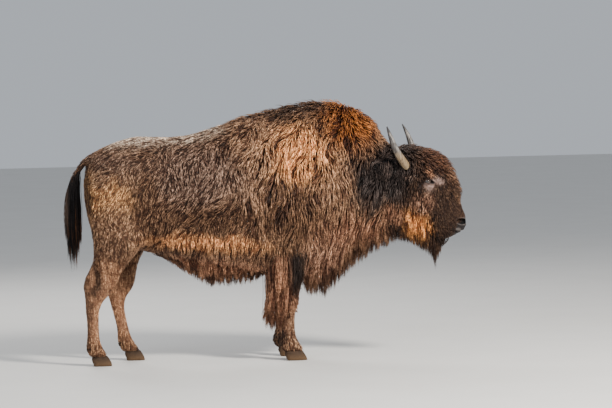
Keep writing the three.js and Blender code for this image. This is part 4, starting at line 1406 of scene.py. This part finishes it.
ground = Ground(hide)
x, y, z = ground.centres.T
on_the_head = headness(ground.centres) > 0.5
on_ears = nearness(ground.centres, EARS, 0.012) > 0.5
body = ~on_the_head & ~on_ears
right, left = y < 0, y >= 0
hind = body & (x < HIND_FRONT)
rump = hind & (x > TAIL_FRONT) & (z > THIGH_LOW)
ribs = body & (x >= HIND_FRONT) & (x < RIBS_FRONT)
forehand = (x >= RIBS_FRONT) & (x < NECK_BACK)
shoulder = body & forehand & (z > SHOULDER_LOW)
REGIONS = {
    # piece: where it grows and how many segments its tufts have
    "coat_rump_right": (rump & right, 2),
    "coat_rump_left": (rump & left, 2),
    "coat_hind_legs": (hind & (z <= THIGH_LOW), 2),
    "coat_tail": (body & (x <= TAIL_FRONT) & (z > THIGH_LOW), 2),
    "coat_ribs_right": (ribs & right, 2),
    "coat_ribs_left": (ribs & left, 2),
    "coat_shoulder_right": (shoulder & right, 3),
    "coat_shoulder_left": (shoulder & left, 3),
    "coat_forelegs": (body & forehand & (z <= SHOULDER_LOW), 2),
    "coat_neck": (body & (x >= NECK_BACK), 3),
    "coat_head": (on_the_head & ~on_ears, 3),
}
random = np.random.default_rng(7)
hair = coat_finish()
for name, (chosen, segments) in REGIONS.items():
    fit(grow(ground, name, chosen, segments, random, hair), "coat")
fit(grow(ground, "coat_ears", on_ears, 3, random, ear_finish(), ear_groom), "coat")

throat = body & (x > 0.15) & (z < 1.0) & (z > 0.55)
under_belly = body & (x < 0.1) & (x > -0.85) & (z < 0.85) & (z > 0.5)
foreleg = forehand & (z < 0.75) & (z > 0.15)
tail_end = (x < TAIL_FRONT) & (z > 0.95)
black_hair = tail_finish()
LONG_HAIR = {
    # node: where it grows, how many locks, their width, how ragged their ends are, how far up the
    # roots spread, how wavy they are, how many hang together and how much the front ones are cropped
    "throat_hair": (hair, throat, 4200, 0.0054, 0.20, 0.14, 0.008, 15, 0),
    "belly_hair": (hair, under_belly, 2700, 0.0052, 0.25, 0.08, 0.007, 15, 0),
    "beard": (hair, on_the_head, 2200, 0.0048, 0.14, 0.08, 0.006, 12, 0),
    "foreleg_hair_right": (hair, foreleg & (y < 0), 1900, 0.0058, 0.26, 0.10, 0.016, 30, 0.35),
    "foreleg_hair_left": (hair, foreleg & (y > 0), 1900, 0.0058, 0.26, 0.10, 0.016, 30, 0.35),
    "tail_brush": (black_hair, tail_end, 1400, 0.0046, 0.44, 0.30, 0.007, 20, 0),
}
for node, (finish, *settings) in LONG_HAIR.items():
    fit(hang(ground, "locks_" + node, node, random, finish, *settings), "long_hair", node)

horn_look, hoof_look, eye_look = horn_finish(), hoof_finish(), eye_finish()
for side in ("right", "left"):
    make_horn(side, horn_look)
    make_eye(side, eye_look)
    for pair in ("fore", "hind"):
        make_hoof(pair + "_leg_" + side, hoof_look)
